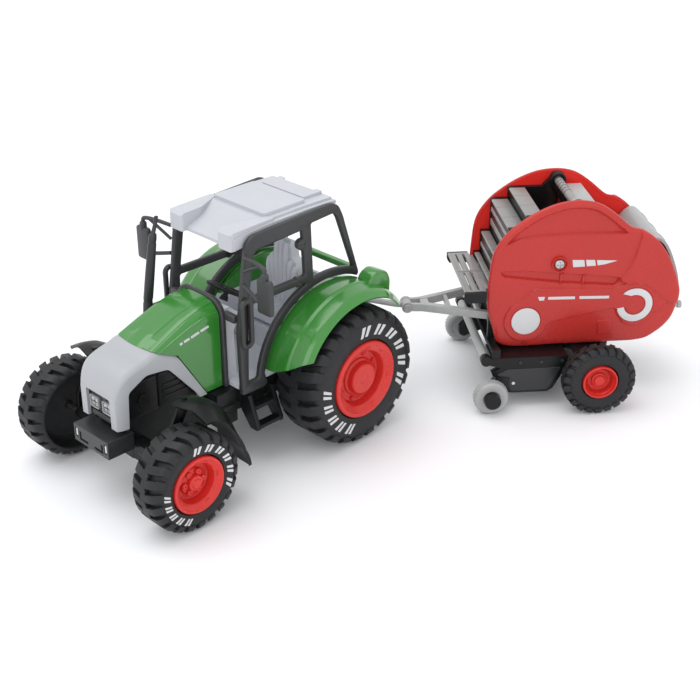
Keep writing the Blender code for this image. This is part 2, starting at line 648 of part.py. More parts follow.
def drawbar():
    z = CLEVIS[2]
    body = None
    for side in (1, -1):
        ear = rod("drawbar" if body is None else "ear", (CLEVIS[0], 1.9 * side, z),
                  (CLEVIS[0], 3.6 * side, z), 2.6, GREY, BALER, 16)
        outline = [(78.5, 2.0), (78.5, 3.5), (73, 4.2), (ARM_END, 16.4), (ARM_END, 14.2), (70, 2.4)]
        fuse(ear, plate("arm", [(x, y * side) for x, y in outline], z - 1.8, z + 1.7,
                        GREY, BALER, "Z"))
        if body is None:
            body = ear
        else:
            fuse(body, ear)
    fuse(body, box("brace", (60.4, -7.6, z - 1.3), (62.0, 7.6, z + 1.3), GREY, BALER),
         box("rear_brace", (47.8, -12.6, z - 1.3), (49.4, 12.6, z + 1.3), GREY, BALER),
         box("throat", (69.8, -3.4, z - 1.6), (73.4, 3.4, z + 1.5), GREY, BALER))
    cut(body, rod("ear_hole", (CLEVIS[0], -9, z), (CLEVIS[0], 9, z), 1.35, GREY, BALER))


# ---------------------------------------------------------------- baler: frame and chamber

def lower_frame():
    tray = box("lower_frame", (-10, -16.6, 20), (41.6, 16.6, 24.6), BLACK, BALER)
    axle_box = box("axle_box", (-6, -31, 11.6), (9, 31, 24), BLACK, BALER)
    wall = box("front_wall", (39.2, -16.6, 24), (41.6, 16.6, 40.4), BLACK, BALER)
    fuse(tray, axle_box, wall)
    cut(tray, rod("axle_bore", (0, -35, BALER_R), (0, 35, BALER_R), BORE_R, BLACK, BALER))


STAIR = [(24.5, 85.2), (31.8, 85.2), (31.8, 80.0), (39.4, 80.0), (39.4, 64.8), (43.4, 64.8),
         (43.4, 54.4), (46.0, 54.4), (46.0, 42.0)]


def chamber_frame(name, side):
    """A stepped inner plate that ends in an eye for the top rod."""
    eye = arc(ROD, 3.6, 10, 200, 8)
    outline = [(46.0, 28.4)] + STAIR[:0:-1][:-1] + [STAIR[1], (16.4, 85.2)] + eye \
        + [(7.4, 83), (10, 73.8), (11.6, 60), (9, 45), (2, 33), (-6, 25), (38, 25), (40, 28.4)]
    body = plate(name, outline, side * CHAMBER_IN, side * CHAMBER_OUT, BLACK, BALER)
    cut(body, rod("rod_hole", (ROD[0], 10 * side, ROD[1]), (ROD[0], 30 * side, ROD[1]),
                  ROD_R + 0.3, BLACK, BALER))


def slat_panel():
    wall = 1.4
    inside = [(x - wall, z - wall) for x, z in STAIR[:-1]] + [(STAIR[-1][0] - wall, STAIR[-1][1])]
    inside[0] = (STAIR[0][0], STAIR[0][1] - wall)
    plate("slat_panel", STAIR + inside[::-1], -16.8, 16.8, SILVER, BALER)


def windguard():
    flap = box("windguard", (47.8, -22.8, 50.9), (57.6, 22.8, 52.5), SILVER, BALER)
    tongue = box("tongue", (46.3, -18.6, 50.9), (50, 18.6, 52.5), SILVER, BALER)
    fuse(flap, tongue)
    for side in (1, -1):
        fuse(flap, box("end_cap", (48.0, 21.0 * side, 47.4), (57.8, 23.0 * side, 52.4),
                       BLACK, BALER))


def top_rod():
    rod("top_rod", (ROD[0], -SHELL_IN + GAP, ROD[1]), (ROD[0], SHELL_IN - GAP, ROD[1]), ROD_R,
        GREY, BALER, 14)


TAIL = [(-21.5, 68.2), (-24.5, 71.8), (-27.6, 72.6), (-31.2, 69.4), (-34.6, 62.6), (-37.6, 54),
        (-38.6, 46.4), (-36.8, 36), (-31, 28.6), (-22, 25.9)]


def tailgate():
    def surface(u, v):
        along = u * (len(TAIL) - 1)
        k = min(int(along), len(TAIL) - 2)
        t = along - k
        return (TAIL[k][0] * (1 - t) + TAIL[k + 1][0] * t, 19.2 * (2 * v - 1),
                TAIL[k][1] * (1 - t) + TAIL[k + 1][1] * t)
    panel = sheet("tailgate", surface, len(TAIL) - 1, 1, 1.4, GREY, BALER)
    pivot(panel, ROD[0], 0, ROD[1])
    hole = rod("hinge_hole", (ROD[0], -25, ROD[1]), (ROD[0], 25, ROD[1]), ROD_R + 0.4,
               GREY, BALER, 16)
    for side in (1, -1):
        eye = arc(ROD, 3.6, -20, 200, 9)
        arm = eye + [(3.2, 78), (2.0, 73.0), (-8, 66.5), (-33.4, 62.5), (-36.2, 56.5), (-8, 60.5),
                     (6.5, 68), (9.0, 78)]
        fuse(panel, plate("arm", arm, side * 15.3, side * 16.7, GREY, BALER))
    fuse(panel, box("hinge_strip", (-1, -16, 85.2), (7.2, 16, 86.6), GREY, BALER))
    fuse(panel, rod("knob", (-37, 16, 39.4), (-42.4, 16, 39.4), 1.7, GREY, BALER, 10))
    cut(panel, hole)


SHELL = [(39.1, 25.4), (44.7, 35.2), (47.3, 46.2), (46.9, 61.1), (45.4, 70.4), (41.3, 77.4),
         (35.9, 82.6), (27.6, 88.0), (18.3, 91.6), (8.8, 92.4), (0.9, 90.7), (-6.3, 86.1),
         (-14.2, 79.6), (-19.9, 77.9), (-26.4, 73.0), (-32.3, 64.9), (-37.2, 54.0),
         (-38.7, 46.4), (-36.1, 35.0), (-27.8, 27.0), (-20.9, 25.0), (-10.7, 24.8), (14, 24.8)]
DISC = (30.0, 37.4)
SHELL_SCREW = (16.8, 64.2)


def side_shell(name, side):
    body = plate(name, smooth(SHELL, 2), side * SHELL_IN, side * SHELL_OUT, RED, BALER)
    round_edges(body, 1.1, 1, 60)
    x, z = DISC
    u, w = SHELL_SCREW
    disc = rod("disc_pocket", (x, side * (SHELL_OUT - 0.8), z), (x, side * 30, z), 7.2,
               RED, BALER, 24)
    well = rod("screw_well", (u, side * (SHELL_OUT - 1.8), w), (u, side * 30, w), 3.1,
               RED, BALER, 16)
    cut(body, disc, well)


def shell_screw(name, side):
    """A pan head with a cross recess, sunk in the shell's well."""
    radius, x, z = 2.4, *SHELL_SCREW
    depth = SHELL_OUT - 1.8 + GAP
    profile = [(0, 1.1), (radius * 0.7, 1.0), (radius, 0.35), (radius, 0), (0, 0)]
    head = turned(name, profile, (x, side * depth, z), STEEL, BALER, 14, False, (0, side, 0))
    reach, half = radius * 0.6, radius * 0.14
    for wide, tall in ((reach, half), (half, reach)):
        cut(head, box("recess", (x - wide, side * (depth + 0.5), z - tall),
                      (x + wide, side * (depth + 2), z + tall), STEEL, BALER))


# ---------------------------------------------------------------- baler: pickup and wheels

PICKUP = [(47.5, 21.2), (42, 19.6), (46.0, 17.4), (45.4, 15.8), (41.0, 13), (37.8, 7.0),
          (20.5, 6.8), (18, 8.4), (12.2, 19.6), (12.2, 24.3), (47.5, 24.3)]
ROLLER = (48.6, 23.2)


def pickup_frame():
    low, high = 28.5, 31.6
    x, y, z = GAUGE
    body = None
    for side in (1, -1):
        cheek = plate("pickup_frame" if body is None else "cheek", PICKUP, side * low,
                      side * high, BLACK, BALER)
        boss = rod("boss", (ROLLER[0], side * 28.2, ROLLER[1]), (ROLLER[0], side * 31.9, ROLLER[1]),
                   2.4, BLACK, BALER, 14)
        hook = box("hook", (42.4, side * 28.8, 23.0), (46.2, side * 31.3, 28.4), BLACK, BALER)
        top = box("top", (12.2, side * 16.9, 22.6), (46.2, side * 30, 24.3), BLACK, BALER)
        carrier = plate("carrier", [(38, 15), (43.5, 15.6), (48.6, 9.8), (48.6, 6.0),
                                    (46.5, 4.8), (38, 8)], side * 29, side * 32.4, BLACK, BALER)
        stub = rod("stub", (x, side * 30, z), (x, side * 40.0, z), 1.3, BLACK, BALER)
        cap = rod("cap", (x, side * 38.6, z), (x, side * 41.2, z), 3.6, BLACK, BALER, 16)
        fuse(cheek, boss, hook, top, carrier, stub, cap)
        if body is None:
            body = cheek
        else:
            fuse(body, cheek)
    fuse(body, box("front_strip", (42.6, -30, 25.4), (46.0, 30, 27.8), SILVER, BALER))


def pickup_roller():
    x, z = ROLLER
    rod("pickup_roller", (x, -27.9, z), (x, 27.9, z), 1.9, GREY, BALER, 14)


def gauge_wheel(name, side):
    profile = [(GAUGE_R, 4.5), (GAUGE_R, 0.7), (GAUGE_R - 0.7, 0), (1.65, 0), (1.65, 5.2),
               (GAUGE_R - 0.7, 5.2)]
    x, y, z = GAUGE
    turned(name, profile, (x, side * (y - 2.6), z), GREY, BALER, 24, True, (0, side, 0))


def baler_wheels():
    rod("baler_axle", (0, -40, BALER_R), (0, 40, BALER_R), AXLE_R, STEEL, BALER)
    for word, side in (("left", 1), ("right", -1)):
        tyre(f"baler_tyre_{word}", side, 0, BALER_R, BALER_IN, BALER_OUT, 8.1, BALER, 28)
        hub(f"baler_hub_{word}", side, 0, BALER_R, BALER_OUT + 0.4, 7.8, 2.6, 5.6, BALER, 20)


# ---------------------------------------------------------------- build

def centre_on_base():
    """Moves the set so that its box stands centred on the origin."""
    bpy.context.view_layer.update()
    graph = bpy.context.evaluated_depsgraph_get()
    corners = []
    for obj in PARTS.objects:
        if obj.type == "MESH":
            shape = obj.evaluated_get(graph)
            corners += [shape.matrix_world @ v.co for v in shape.data.vertices]
    for axis in (0, 1):
        values = [c[axis] for c in corners]
        TRACTOR.location[axis] -= (min(values) + max(values)) / 2


def build():
    chassis()
    weight_block()
    hood()
    nose_cowl()
    grille()
    cowl_arch()
    cab_tub()
    seat()
    steering()
    roof()
    exhaust_stack()
    fender_crossbar()
    hitch_fork()
    hitch_pin()
    tractor_wheels()
    tow_bar()
    clevis_pin()
    drawbar()
    lower_frame()
    slat_panel()
    windguard()
    top_rod()
    tailgate()
    pickup_frame()
    pickup_roller()
    baler_wheels()
    for word, side in (("left", 1), ("right", -1)):
        cab_frame(f"cab_frame_{word}", side)
        mirror(f"mirror_{word}", side)
        grab_handle(f"grab_handle_{word}", side)
        front_fender(f"front_fender_{word}", side)
        rear_fender(f"rear_fender_{word}", side)
        step(f"step_{word}", side)
        chamber_frame(f"chamber_frame_{word}", side)
        side_shell(f"side_shell_{word}", side)
        shell_screw(f"shell_screw_{word}", side)
        gauge_wheel(f"gauge_wheel_{word}", side)
    centre_on_base()


build()
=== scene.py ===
"""Looks for the toy tractor and the round baler that it pulls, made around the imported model.

Lengths are in millimetres in two drawing frames, and `MM` turns them into metres. TRACTOR stands on
the ground under the rear axle, +X to the front and +Y to the left. BALER stands on the ground under
the baler's own axle, with +X towards the hitch pin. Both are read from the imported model.
"""
import json
from math import atan2, cos, pi, radians, sin

import bmesh
import bpy
import numpy as np
from mathutils import Matrix, Vector, geometry

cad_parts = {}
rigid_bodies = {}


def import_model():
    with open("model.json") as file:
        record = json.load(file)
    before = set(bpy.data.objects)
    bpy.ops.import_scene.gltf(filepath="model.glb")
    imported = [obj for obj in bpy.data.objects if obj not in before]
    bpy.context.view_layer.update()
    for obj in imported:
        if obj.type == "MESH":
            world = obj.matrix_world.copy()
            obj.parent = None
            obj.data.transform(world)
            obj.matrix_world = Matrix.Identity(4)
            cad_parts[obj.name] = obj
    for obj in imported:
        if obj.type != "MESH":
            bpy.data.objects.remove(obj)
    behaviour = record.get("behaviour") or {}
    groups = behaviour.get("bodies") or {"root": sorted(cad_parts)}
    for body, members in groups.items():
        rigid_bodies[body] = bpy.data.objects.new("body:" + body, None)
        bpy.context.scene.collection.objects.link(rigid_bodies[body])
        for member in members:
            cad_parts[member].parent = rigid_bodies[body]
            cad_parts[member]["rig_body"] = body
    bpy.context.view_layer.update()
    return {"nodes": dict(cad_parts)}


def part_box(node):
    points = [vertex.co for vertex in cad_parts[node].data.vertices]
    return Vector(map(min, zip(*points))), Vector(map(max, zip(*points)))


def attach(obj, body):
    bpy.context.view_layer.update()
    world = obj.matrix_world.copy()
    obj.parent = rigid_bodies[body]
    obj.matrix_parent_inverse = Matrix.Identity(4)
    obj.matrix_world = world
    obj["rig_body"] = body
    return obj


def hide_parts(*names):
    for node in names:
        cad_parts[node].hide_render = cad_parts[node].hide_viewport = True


MM = 0.001
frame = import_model()
SIDES = (("left", 1), ("right", -1))


# ---------------------------------------------------------------- frames and sizes from the model

def middle(node):
    low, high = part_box(node)
    return (low + high) / 2


def drawing_frames():
    """Where the two drawing frames stand in the world."""
    rear, baler, pin = middle("rear_axle"), middle("baler_axle"), middle("hitch_pin")
    heading = atan2(pin.y - baler.y, pin.x - baler.x)
    tractor = Matrix.Translation((rear.x, rear.y, 0))
    return tractor, Matrix.Translation((baler.x, baler.y, 0)) @ Matrix.Rotation(heading, 4, "Z")


TRACTOR, BALER = drawing_frames()
ON_TRACTOR, ON_BALER = (TRACTOR, "tractor"), (BALER, "baler")     # frame and body, for piece()


def span(node, place):
    """Lowest and highest corner of a CAD node in a drawing frame, in millimetres."""
    back = place.inverted()
    points = np.array([back @ v.co for v in frame["nodes"][node].data.vertices]) / MM
    return Vector(points.min(0)), Vector(points.max(0))


def barrel(node, place):
    """End, radius and length of a CAD node that is round about the drawing frame's Y axis."""
    low, high = span(node, place)
    centre = (low + high) / 2
    return Vector((centre.x, low.y, centre.z)), (high.z - low.z) / 2, high.y - low.y


def depths(low, high):
    """How far a node on one side of the middle plane reaches from it: near end, far end."""
    return sorted((abs(low.y), abs(high.y)))


# ---------------------------------------------------------------- materials

def link(tree, source, target):
    tree.links.new(source, target)


def node(tree, kind, **values):
    made = tree.nodes.new(kind)
    for key, value in values.items():
        if key in made.inputs:
            made.inputs[key].default_value = value
        else:
            setattr(made, key, value)
    return made


def noise(tree, where, size, detail=2.0, rough=0.5):
    """A noise texture whose features are about `size` millimetres wide."""
    made = node(tree, "ShaderNodeTexNoise", Scale=1 / (size * MM), Detail=detail, Roughness=rough)
    link(tree, where, made.inputs["Vector"])
    return made.outputs["Fac"]


def remap(tree, value, low, high, to_low, to_high):
    made = node(tree, "ShaderNodeMapRange")
    for name, number in (("From Min", low), ("From Max", high), ("To Min", to_low),
                         ("To Max", to_high)):
        made.inputs[name].default_value = number
    link(tree, value, made.inputs["Value"])
    return made.outputs["Result"]


def blend_colour(tree, factor, first, second):
    made = node(tree, "ShaderNodeMix", data_type="RGBA")
    link(tree, factor, made.inputs["Factor"])
    for name, colour in (("A", first), ("B", second)):
        socket = [s for s in made.inputs if s.name == name and s.type == "RGBA"][0]
        if isinstance(colour, tuple):
            socket.default_value = (*colour, 1)
        else:
            link(tree, colour, socket)
    return [s for s in made.outputs if s.type == "RGBA"][0]


def shaded(colour, factor):
    return tuple(min(1.0, c * factor) for c in colour)


def moulded(name, colour, roughness, *, metallic=0.0, coat=0.0, grain=0.35, grain_height=0.012,
            swirl=0.06, worn=1.25, specular=0.5, waves=0.06):
    """Moulded plastic or rubber: soft swirls in the colour, uneven gloss, a fine skin and edges
    that are a little lighter and duller where hands rub them."""
    mat = bpy.data.materials.new(name)
    mat.use_nodes = True
    tree = mat.node_tree
    shader = tree.nodes["Principled BSDF"]
    where = node(tree, "ShaderNodeTexCoord").outputs["Object"]
    broad = noise(tree, where, 22, 3)
    streak = noise(tree, where, 3.5, 4, 0.6)
    fine = noise(tree, where, grain, 3, 0.55)
    edge = remap(tree, node(tree, "ShaderNodeNewGeometry").outputs["Pointiness"], 0.53, 0.60, 0, 1)
    rub = node(tree, "ShaderNodeMath", operation="MULTIPLY")
    link(tree, edge, rub.inputs[0])
    link(tree, remap(tree, streak, 0.4, 0.62, 0.15, 0.8), rub.inputs[1])
    base = blend_colour(tree, remap(tree, broad, 0.35, 0.65, 0, 1), shaded(colour, 1 - swirl),
                        shaded(colour, 1 + swirl))
    flecked = blend_colour(tree, remap(tree, streak, 0.5, 0.75, 0, 0.3), base,
                           shaded(colour, 1 - 2 * swirl))
    link(tree, blend_colour(tree, rub.outputs[0], flecked, shaded(colour, worn)),
         shader.inputs["Base Color"])
    dull = node(tree, "ShaderNodeMath", operation="ADD")
    link(tree, remap(tree, streak, 0.35, 0.7, roughness * 0.86, roughness * 1.18), dull.inputs[0])
    link(tree, remap(tree, rub.outputs[0], 0, 1, 0, 0.06), dull.inputs[1])
    link(tree, dull.outputs[0], shader.inputs["Roughness"])
    bump = node(tree, "ShaderNodeBump", Strength=0.5, Distance=grain_height * MM)
    link(tree, fine, bump.inputs["Height"])
    soft = node(tree, "ShaderNodeBump", Strength=0.3, Distance=waves * MM)
    link(tree, noise(tree, where, 9, 2), soft.inputs["Height"])
    link(tree, bump.outputs["Normal"], soft.inputs["Normal"])
    link(tree, soft.outputs["Normal"], shader.inputs["Normal"])
    shader.inputs["Metallic"].default_value = metallic
    shader.inputs["Coat Weight"].default_value = coat
    shader.inputs["Coat Roughness"].default_value = 0.08
    shader.inputs["Specular IOR Level"].default_value = specular
    return mat


GREEN = moulded("gloss_green", (0.030, 0.205, 0.024), 0.20, coat=0.6, worn=1.12, swirl=0.04,
                grain_height=0.006)
RED = moulded("gloss_red", (0.47, 0.032, 0.027), 0.27, coat=0.12, worn=1.05, specular=0.26,
              swirl=0.025, grain_height=0.006)
# a brighter copy of the shells' red for their inward faces: painted light against the shade inside the
# chamber
INNER_RED_PAINTED_LIGHT = moulded("inner_red_painted_light", (0.86, 0.030, 0.022), 0.40, worn=1.0, specular=0.3, swirl=0.03)
HUB_RED = moulded("hub_red", (0.60, 0.026, 0.020), 0.30, coat=0.1, worn=1.1, specular=0.35)
NOSE = moulded("nose_grey", (0.39, 0.405, 0.425), 0.38, worn=1.06, swirl=0.02, specular=0.35)
PALE = moulded("pale_lavender_grey", (0.49, 0.505, 0.545), 0.42, worn=1.06, swirl=0.02, coat=0.05,
               specular=0.35)
# the pale grey made brighter for the cab's inside: painted light against the shade under the roof
PALE_PAINTED_LIGHT = moulded("pale_grey_painted_light", (0.62, 0.64, 0.69), 0.42, worn=1.05, swirl=0.02, specular=0.35)
GREY = moulded("light_grey", (0.36, 0.365, 0.365), 0.36, worn=1.15, coat=0.05, specular=0.4)
CABIN = moulded("cab_grey", (0.040, 0.041, 0.043), 0.34, worn=1.6, specular=0.36)
DARK = moulded("dark_grey", (0.030, 0.031, 0.033), 0.34, worn=1.6, specular=0.36)
BLACK = moulded("satin_black", (0.006, 0.0065, 0.007), 0.36, worn=2.0, specular=0.28, swirl=0.03,
                waves=0.015)
RUBBER = moulded("tyre_rubber", (0.017, 0.0175, 0.019), 0.48, worn=1.8, grain=0.3,
                 grain_height=0.02, specular=0.3)
SILVER = moulded("silver_plastic", (0.29, 0.285, 0.28), 0.40, metallic=0.3, grain=0.6,
                 grain_height=0.002, worn=1.05, swirl=0.03, waves=0.004)
STEEL = moulded("steel", (0.50, 0.50, 0.49), 0.28, metallic=1.0, grain=0.6, worn=1.1)
PRINT = moulded("white_print", (0.60, 0.605, 0.615), 0.40, worn=1.0, swirl=0.03)
LENS = moulded("lamp_lens", (0.40, 0.42, 0.44), 0.14, coat=0.6, worn=1.05, grain=0.6)


# ---------------------------------------------------------------- outlines

def arc(centre, radius, start, end, count):
    """Points on an arc, angles in degrees."""
    steps = [radians(start + (end - start) * i / (count - 1)) for i in range(count)]
    return [(centre[0] + radius * cos(a), centre[1] + radius * sin(a)) for a in steps]


def circle(centre, radius, count=32):
    """Points on a circle, evenly spaced."""
    return arc(centre, radius, 0, 360 - 360 / count, count)


def fillet(points, radius, steps=4, closed=True):
    """Rounds the corners of an outline; no corner takes more than 0.45 of an edge."""
    points = [Vector(p) for p in points]
    count = len(points)
    made = []
    for i, p in enumerate(points):
        if not closed and i in (0, count - 1):
            made.append(tuple(p))
            continue
        before, after = points[i - 1] - p, points[(i + 1) % count] - p
        reach = min(radius, 0.45 * before.length, 0.45 * after.length)
        start, end = p + before.normalized() * reach, p + after.normalized() * reach
        for k in range(steps + 1):
            t = k / steps
            made.append(tuple(start * (1 - t) ** 2 + 2 * p * t * (1 - t) + end * t * t))
    return made


def smooth(points, per_span, closed=True):
    """A Catmull-Rom curve through the points."""
    points = [Vector(p) for p in points]
    count = len(points)
    made = []
    for i in range(count if closed else count - 1):
        def pick(k):
            return points[(i + k) % count] if closed else points[min(max(i + k, 0), count - 1)]
        a, b, c, d = pick(-1), pick(0), pick(1), pick(2)
        for k in range(per_span):
            t = k / per_span
            made.append(tuple(0.5 * (2 * b + (c - a) * t + (2 * a - 5 * b + 4 * c - d) * t * t
                                     + (3 * b - a - 3 * c + d) * t ** 3)))
    return made if closed else made + [tuple(points[-1])]


def rect(u0, v0, u1, v1):
    return [(u0, v0), (u1, v0), (u1, v1), (u0, v1)]


def mix(table, x):
    """Reads a value from (x, value) pairs, in a straight line between entries."""
    return float(np.interp(x, [p[0] for p in table], [p[1] for p in table]))


# ---------------------------------------------------------------- meshes, in millimetres

def loft(rings):
    """A closed skin over rings of points that all have the same count."""
    bm = bmesh.new()
    rows = [[bm.verts.new(p) for p in ring] for ring in rings]
    count = len(rows[0])
    for a, b in zip(rows, rows[1:]):
        for i in range(count):
            j = (i + 1) % count
            bm.faces.new((a[i], a[j], b[j], b[i]))
    for end in (rows[0], rows[-1]):
        bm.faces.new(end)
    bmesh.ops.recalc_face_normals(bm, faces=bm.faces)
    return bm


def turned(profile, steps, centre=(0, 0, 0), axis=(0, 1, 0), closed=True):
    """Turns (radius, height) points about an axis. A point on the axis closes the form."""
    turn = Vector(axis).to_track_quat("Z", "X").to_matrix()
    bm = bmesh.new()
    rows = []
    for r, h in profile:
        if r < 0.0001:
            rows.append([bm.verts.new(turn @ Vector((0, 0, h)) + Vector(centre))])
            continue
        rows.append([bm.verts.new(turn @ Vector((r * cos(a), r * sin(a), h)) + Vector(centre))
                     for a in (2 * pi * k / steps for k in range(steps))])
    pairs = list(zip(rows, rows[1:])) + ([(rows[-1], rows[0])] if closed else [])
    for a, b in pairs:
        for i in range(steps):
            j = (i + 1) % steps
            corners = [a[i % len(a)], a[j % len(a)], b[j % len(b)], b[i % len(b)]]
            corners = list(dict.fromkeys(corners))
            if len(corners) > 2:
                bm.faces.new(corners)
    bmesh.ops.recalc_face_normals(bm, faces=bm.faces)
    return bm


def lathe(profile, rounding, steps, foot, axis=(0, 1, 0), corner_steps=4):
    """A solid turned from a profile that starts and ends on its axis, with rounded corners."""
    rounded = fillet(profile, rounding, corner_steps, closed=False)
    return turned(rounded, steps, foot, axis, closed=False)


def prism(outline, low, high, across="Y"):
    """A flat outline in XZ (across Y), YZ (across X) or XY (across Z), given a thickness."""
    def point(p, depth):
        return {"Y": (p[0], depth, p[1]), "X": (depth, p[0], p[1]), "Z": (p[0], p[1], depth)}[across]
    return loft([[point(p, d) for p in outline] for d in (low, high)])


def block(low, high):
    bm = bmesh.new()
    size = [abs(b - a) for a, b in zip(low, high)]
    centre = [(a + b) / 2 for a, b in zip(low, high)]
    bmesh.ops.create_cube(bm, size=1.0,
                          matrix=Matrix.Translation(centre) @ Matrix.Diagonal((*size, 1)))
    return bm


def soft_block(low, high, rounding, segments=3):
    bm = block(low, high)
    bmesh.ops.bevel(bm, geom=bm.edges[:], offset=rounding, segments=segments, affect="EDGES",
                    profile=0.5)
    return bm


def rod(start, end, radius, sides=24, end_radius=None):
    a, b = Vector(start), Vector(end)
    tip = radius if end_radius is None else end_radius
    return turned([(0, 0), (radius, 0), (tip, (b - a).length), (0, (b - a).length)], sides, a,
                  b - a, closed=False)


def merged(*parts):
    """Puts several meshes in one, as separate closed bodies."""
    bm = bmesh.new()
    for part in parts:
        mesh = bpy.data.meshes.new("part")
        part.to_mesh(mesh)
        part.free()
        bm.from_mesh(mesh)
        bpy.data.meshes.remove(mesh)
    return bm


def from_curve(curve):
    """The welded mesh of a curve, whose caps are closed."""
    guide = bpy.data.objects.new("guide", curve)
    bpy.context.scene.collection.objects.link(guide)
    bpy.context.view_layer.update()
    mesh = bpy.data.meshes.new_from_object(guide.evaluated_get(bpy.context.evaluated_depsgraph_get()))
    bpy.data.objects.remove(guide)
    bm = bmesh.new()
    bm.from_mesh(mesh)
    bpy.data.meshes.remove(mesh)
    bmesh.ops.remove_doubles(bm, verts=bm.verts, dist=0.001)
    bmesh.ops.recalc_face_normals(bm, faces=bm.faces)
    return bm


def pierced(outline, holes, low, high, rounding, across="Y"):
    """A flat plate with holes and rounded edges, drawn as in prism()."""
    curve = bpy.data.curves.new("plate", "CURVE")
    curve.dimensions = "2D"
    curve.fill_mode = "BOTH"
    curve.extrude = abs(high - low) / 2 - rounding
    curve.bevel_depth = rounding
    curve.bevel_resolution = 2
    curve.offset = -rounding
    for loop in (outline, *holes):
        spline = curve.splines.new("POLY")
        spline.points.add(len(loop) - 1)
        for point, (u, v) in zip(spline.points, loop):
            point.co = (u, v, 0, 1)
        spline.use_cyclic_u = True
    bm = from_curve(curve)
    depth = (low + high) / 2
    stand = Matrix.Rotation(pi / 2, 4, "X")
    bm.transform({"Y": Matrix.Translation((0, depth, 0)) @ stand,
                  "X": Matrix.Translation((depth, 0, 0)) @ Matrix.Rotation(pi / 2, 4, "Z") @ stand,
                  "Z": Matrix.Translation((0, 0, depth))}[across])
    return bm


def tube(points, radius, per_span=6, sides=4):
    """A bent round bar through the points."""
    curve = bpy.data.curves.new("tube", "CURVE")
    curve.dimensions = "3D"
    curve.bevel_depth = radius
    curve.bevel_resolution = sides
    curve.use_fill_caps = True
    spline = curve.splines.new("POLY")
    route = smooth(points, per_span, closed=False) if per_span > 1 else points
    spline.points.add(len(route) - 1)
    for point, co in zip(spline.points, route):
        point.co = (*co, 1)
    return from_curve(curve)


def boolean(bm, operation, *others):
    """Cuts, joins or intersects meshes; the others are used up."""
    def as_object(part):
        mesh = bpy.data.meshes.new("part")
        bmesh.ops.recalc_face_normals(part, faces=part.faces)
        part.to_mesh(mesh)
        part.free()
        obj = bpy.data.objects.new("part", mesh)
        bpy.context.scene.collection.objects.link(obj)
        return obj
    target, tools = as_object(bm), [as_object(other) for other in others]
    for tool in tools:
        step = target.modifiers.new("boolean", "BOOLEAN")
        step.operation = operation
        step.object = tool
    bpy.context.view_layer.update()
    shape = target.evaluated_get(bpy.context.evaluated_depsgraph_get())
    mesh = bpy.data.meshes.new_from_object(shape)
    for obj in (target, *tools):
        bpy.data.objects.remove(obj)
    made = bmesh.new()
    made.from_mesh(mesh)
    bpy.data.meshes.remove(mesh)
    return made


def cut(bm, *others):
    return boolean(bm, "DIFFERENCE", *others)


def fuse(bm, *others):
    return boolean(bm, "UNION", *others)


def keep(bm, *others):
    return boolean(bm, "INTERSECT", *others)


def piece(name, bm, mat, place, body, slot, *stands_for, bevel=0.0, segments=3, crease=35):
    """Makes an object of a mesh drawn in millimetres, and hangs it on its CAD body."""
    bm.transform(place @ Matrix.Scale(MM, 4))
    mesh = bpy.data.meshes.new(name)
    bm.to_mesh(mesh)
    bm.free()
    mesh.shade_smooth()
    mesh.materials.append(mat)
    obj = bpy.data.objects.new(name, mesh)
    bpy.context.scene.collection.objects.link(obj)
    if bevel:
        rounder = obj.modifiers.new("round", "BEVEL")
        rounder.width = bevel * MM
        rounder.segments = segments
        rounder.limit_method = "ANGLE"
        rounder.angle_limit = radians(crease)
        rounder.harden_normals = True
    else:
        mesh.set_sharp_from_angle(angle=radians(crease))
    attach(obj, body)
    if stands_for:
        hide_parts(*stands_for)
    return obj


def refined(cad, mat, slot, bevel, upper=None):
    """A finished skin with rounded edges for a CAD node whose shape is right. `upper` gives the
    walls that stand outside a width and above a height a material of their own."""
    bm = bmesh.new()
    bm.from_mesh(frame["nodes"][cad].data)
    bm.transform(Matrix.Scale(1 / MM, 4))
    bmesh.ops.remove_doubles(bm, verts=bm.verts, dist=0.002)
    bmesh.ops.dissolve_limit(bm, angle_limit=radians(1), verts=bm.verts, edges=bm.edges)
    if upper:
        upper_mat, half_width, height = upper
        bmesh.ops.bisect_plane(bm, geom=bm.verts[:] + bm.edges[:] + bm.faces[:],
                               plane_co=(0, 0, height), plane_no=(0, 0, 1))
        for face in bm.faces:
            centre = face.calc_center_median()
            face.material_index = int(centre.z > height
                                      and abs(centre.y - TRACTOR.translation.y / MM) > half_width)
    obj = piece(cad + "_skin", bm, mat, Matrix.Identity(4), frame["nodes"][cad]["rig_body"], slot,
                cad, bevel=bevel)
    if upper:
        obj.data.materials.append(upper_mat)
    return obj


# ---------------------------------------------------------------- wheels

LUG_HEIGHT = {"rear": 2.2, "front": 1.9, "baler": 1.2}
BORE_GAP = 0.05                                        # between a tyre's web and its axle
WEB_DEPTH = 8.6                                        # from a tyre's outer face to its web
LUGS = {"rear": 24, "front": 22, "baler": 22}          # in each half of the tread
STEPS = {"rear": 96, "front": 88, "baler": 72}        # of a turned wheel part


def tread_lug(centre, side, inner, width, radius, height, pitch, angle, hand):
    """One lug from the middle of the tread over a shoulder and down onto the sidewall."""
    def across(share):
        return width / 2 + hand * share * width
    stations = [(-0.09, 0, 0, 0.56), (0.14, 0, 0.16, 0.57), (0.34, 0.1, 0.32, 0.6),
                (0.42, 0.8, 0.42, 0.62), (0.475, 1.9, 0.44, 0.58), (0.499, height + 1.6, 0.44, 0.5)]
    rings = []
    for share, drop, lean, wide in stations:
        middle_angle = angle + lean * pitch
        half = wide * pitch / 2
        foot = radius - height - min(0.7 + drop, 2.1)
        ring = []
        for r, turn in ((foot, -half * 1.16), (radius - drop, -half), (radius - drop, half),
                        (foot, half * 1.16)):
            inward = 0.9 if share > 0.49 and r == foot else 0
            a = middle_angle + turn
            y = inner + across(share - inward / width)
            ring.append((centre.x + r * cos(a), side * y, centre.z + r * sin(a)))
        rings.append(ring)
    return loft(rings)


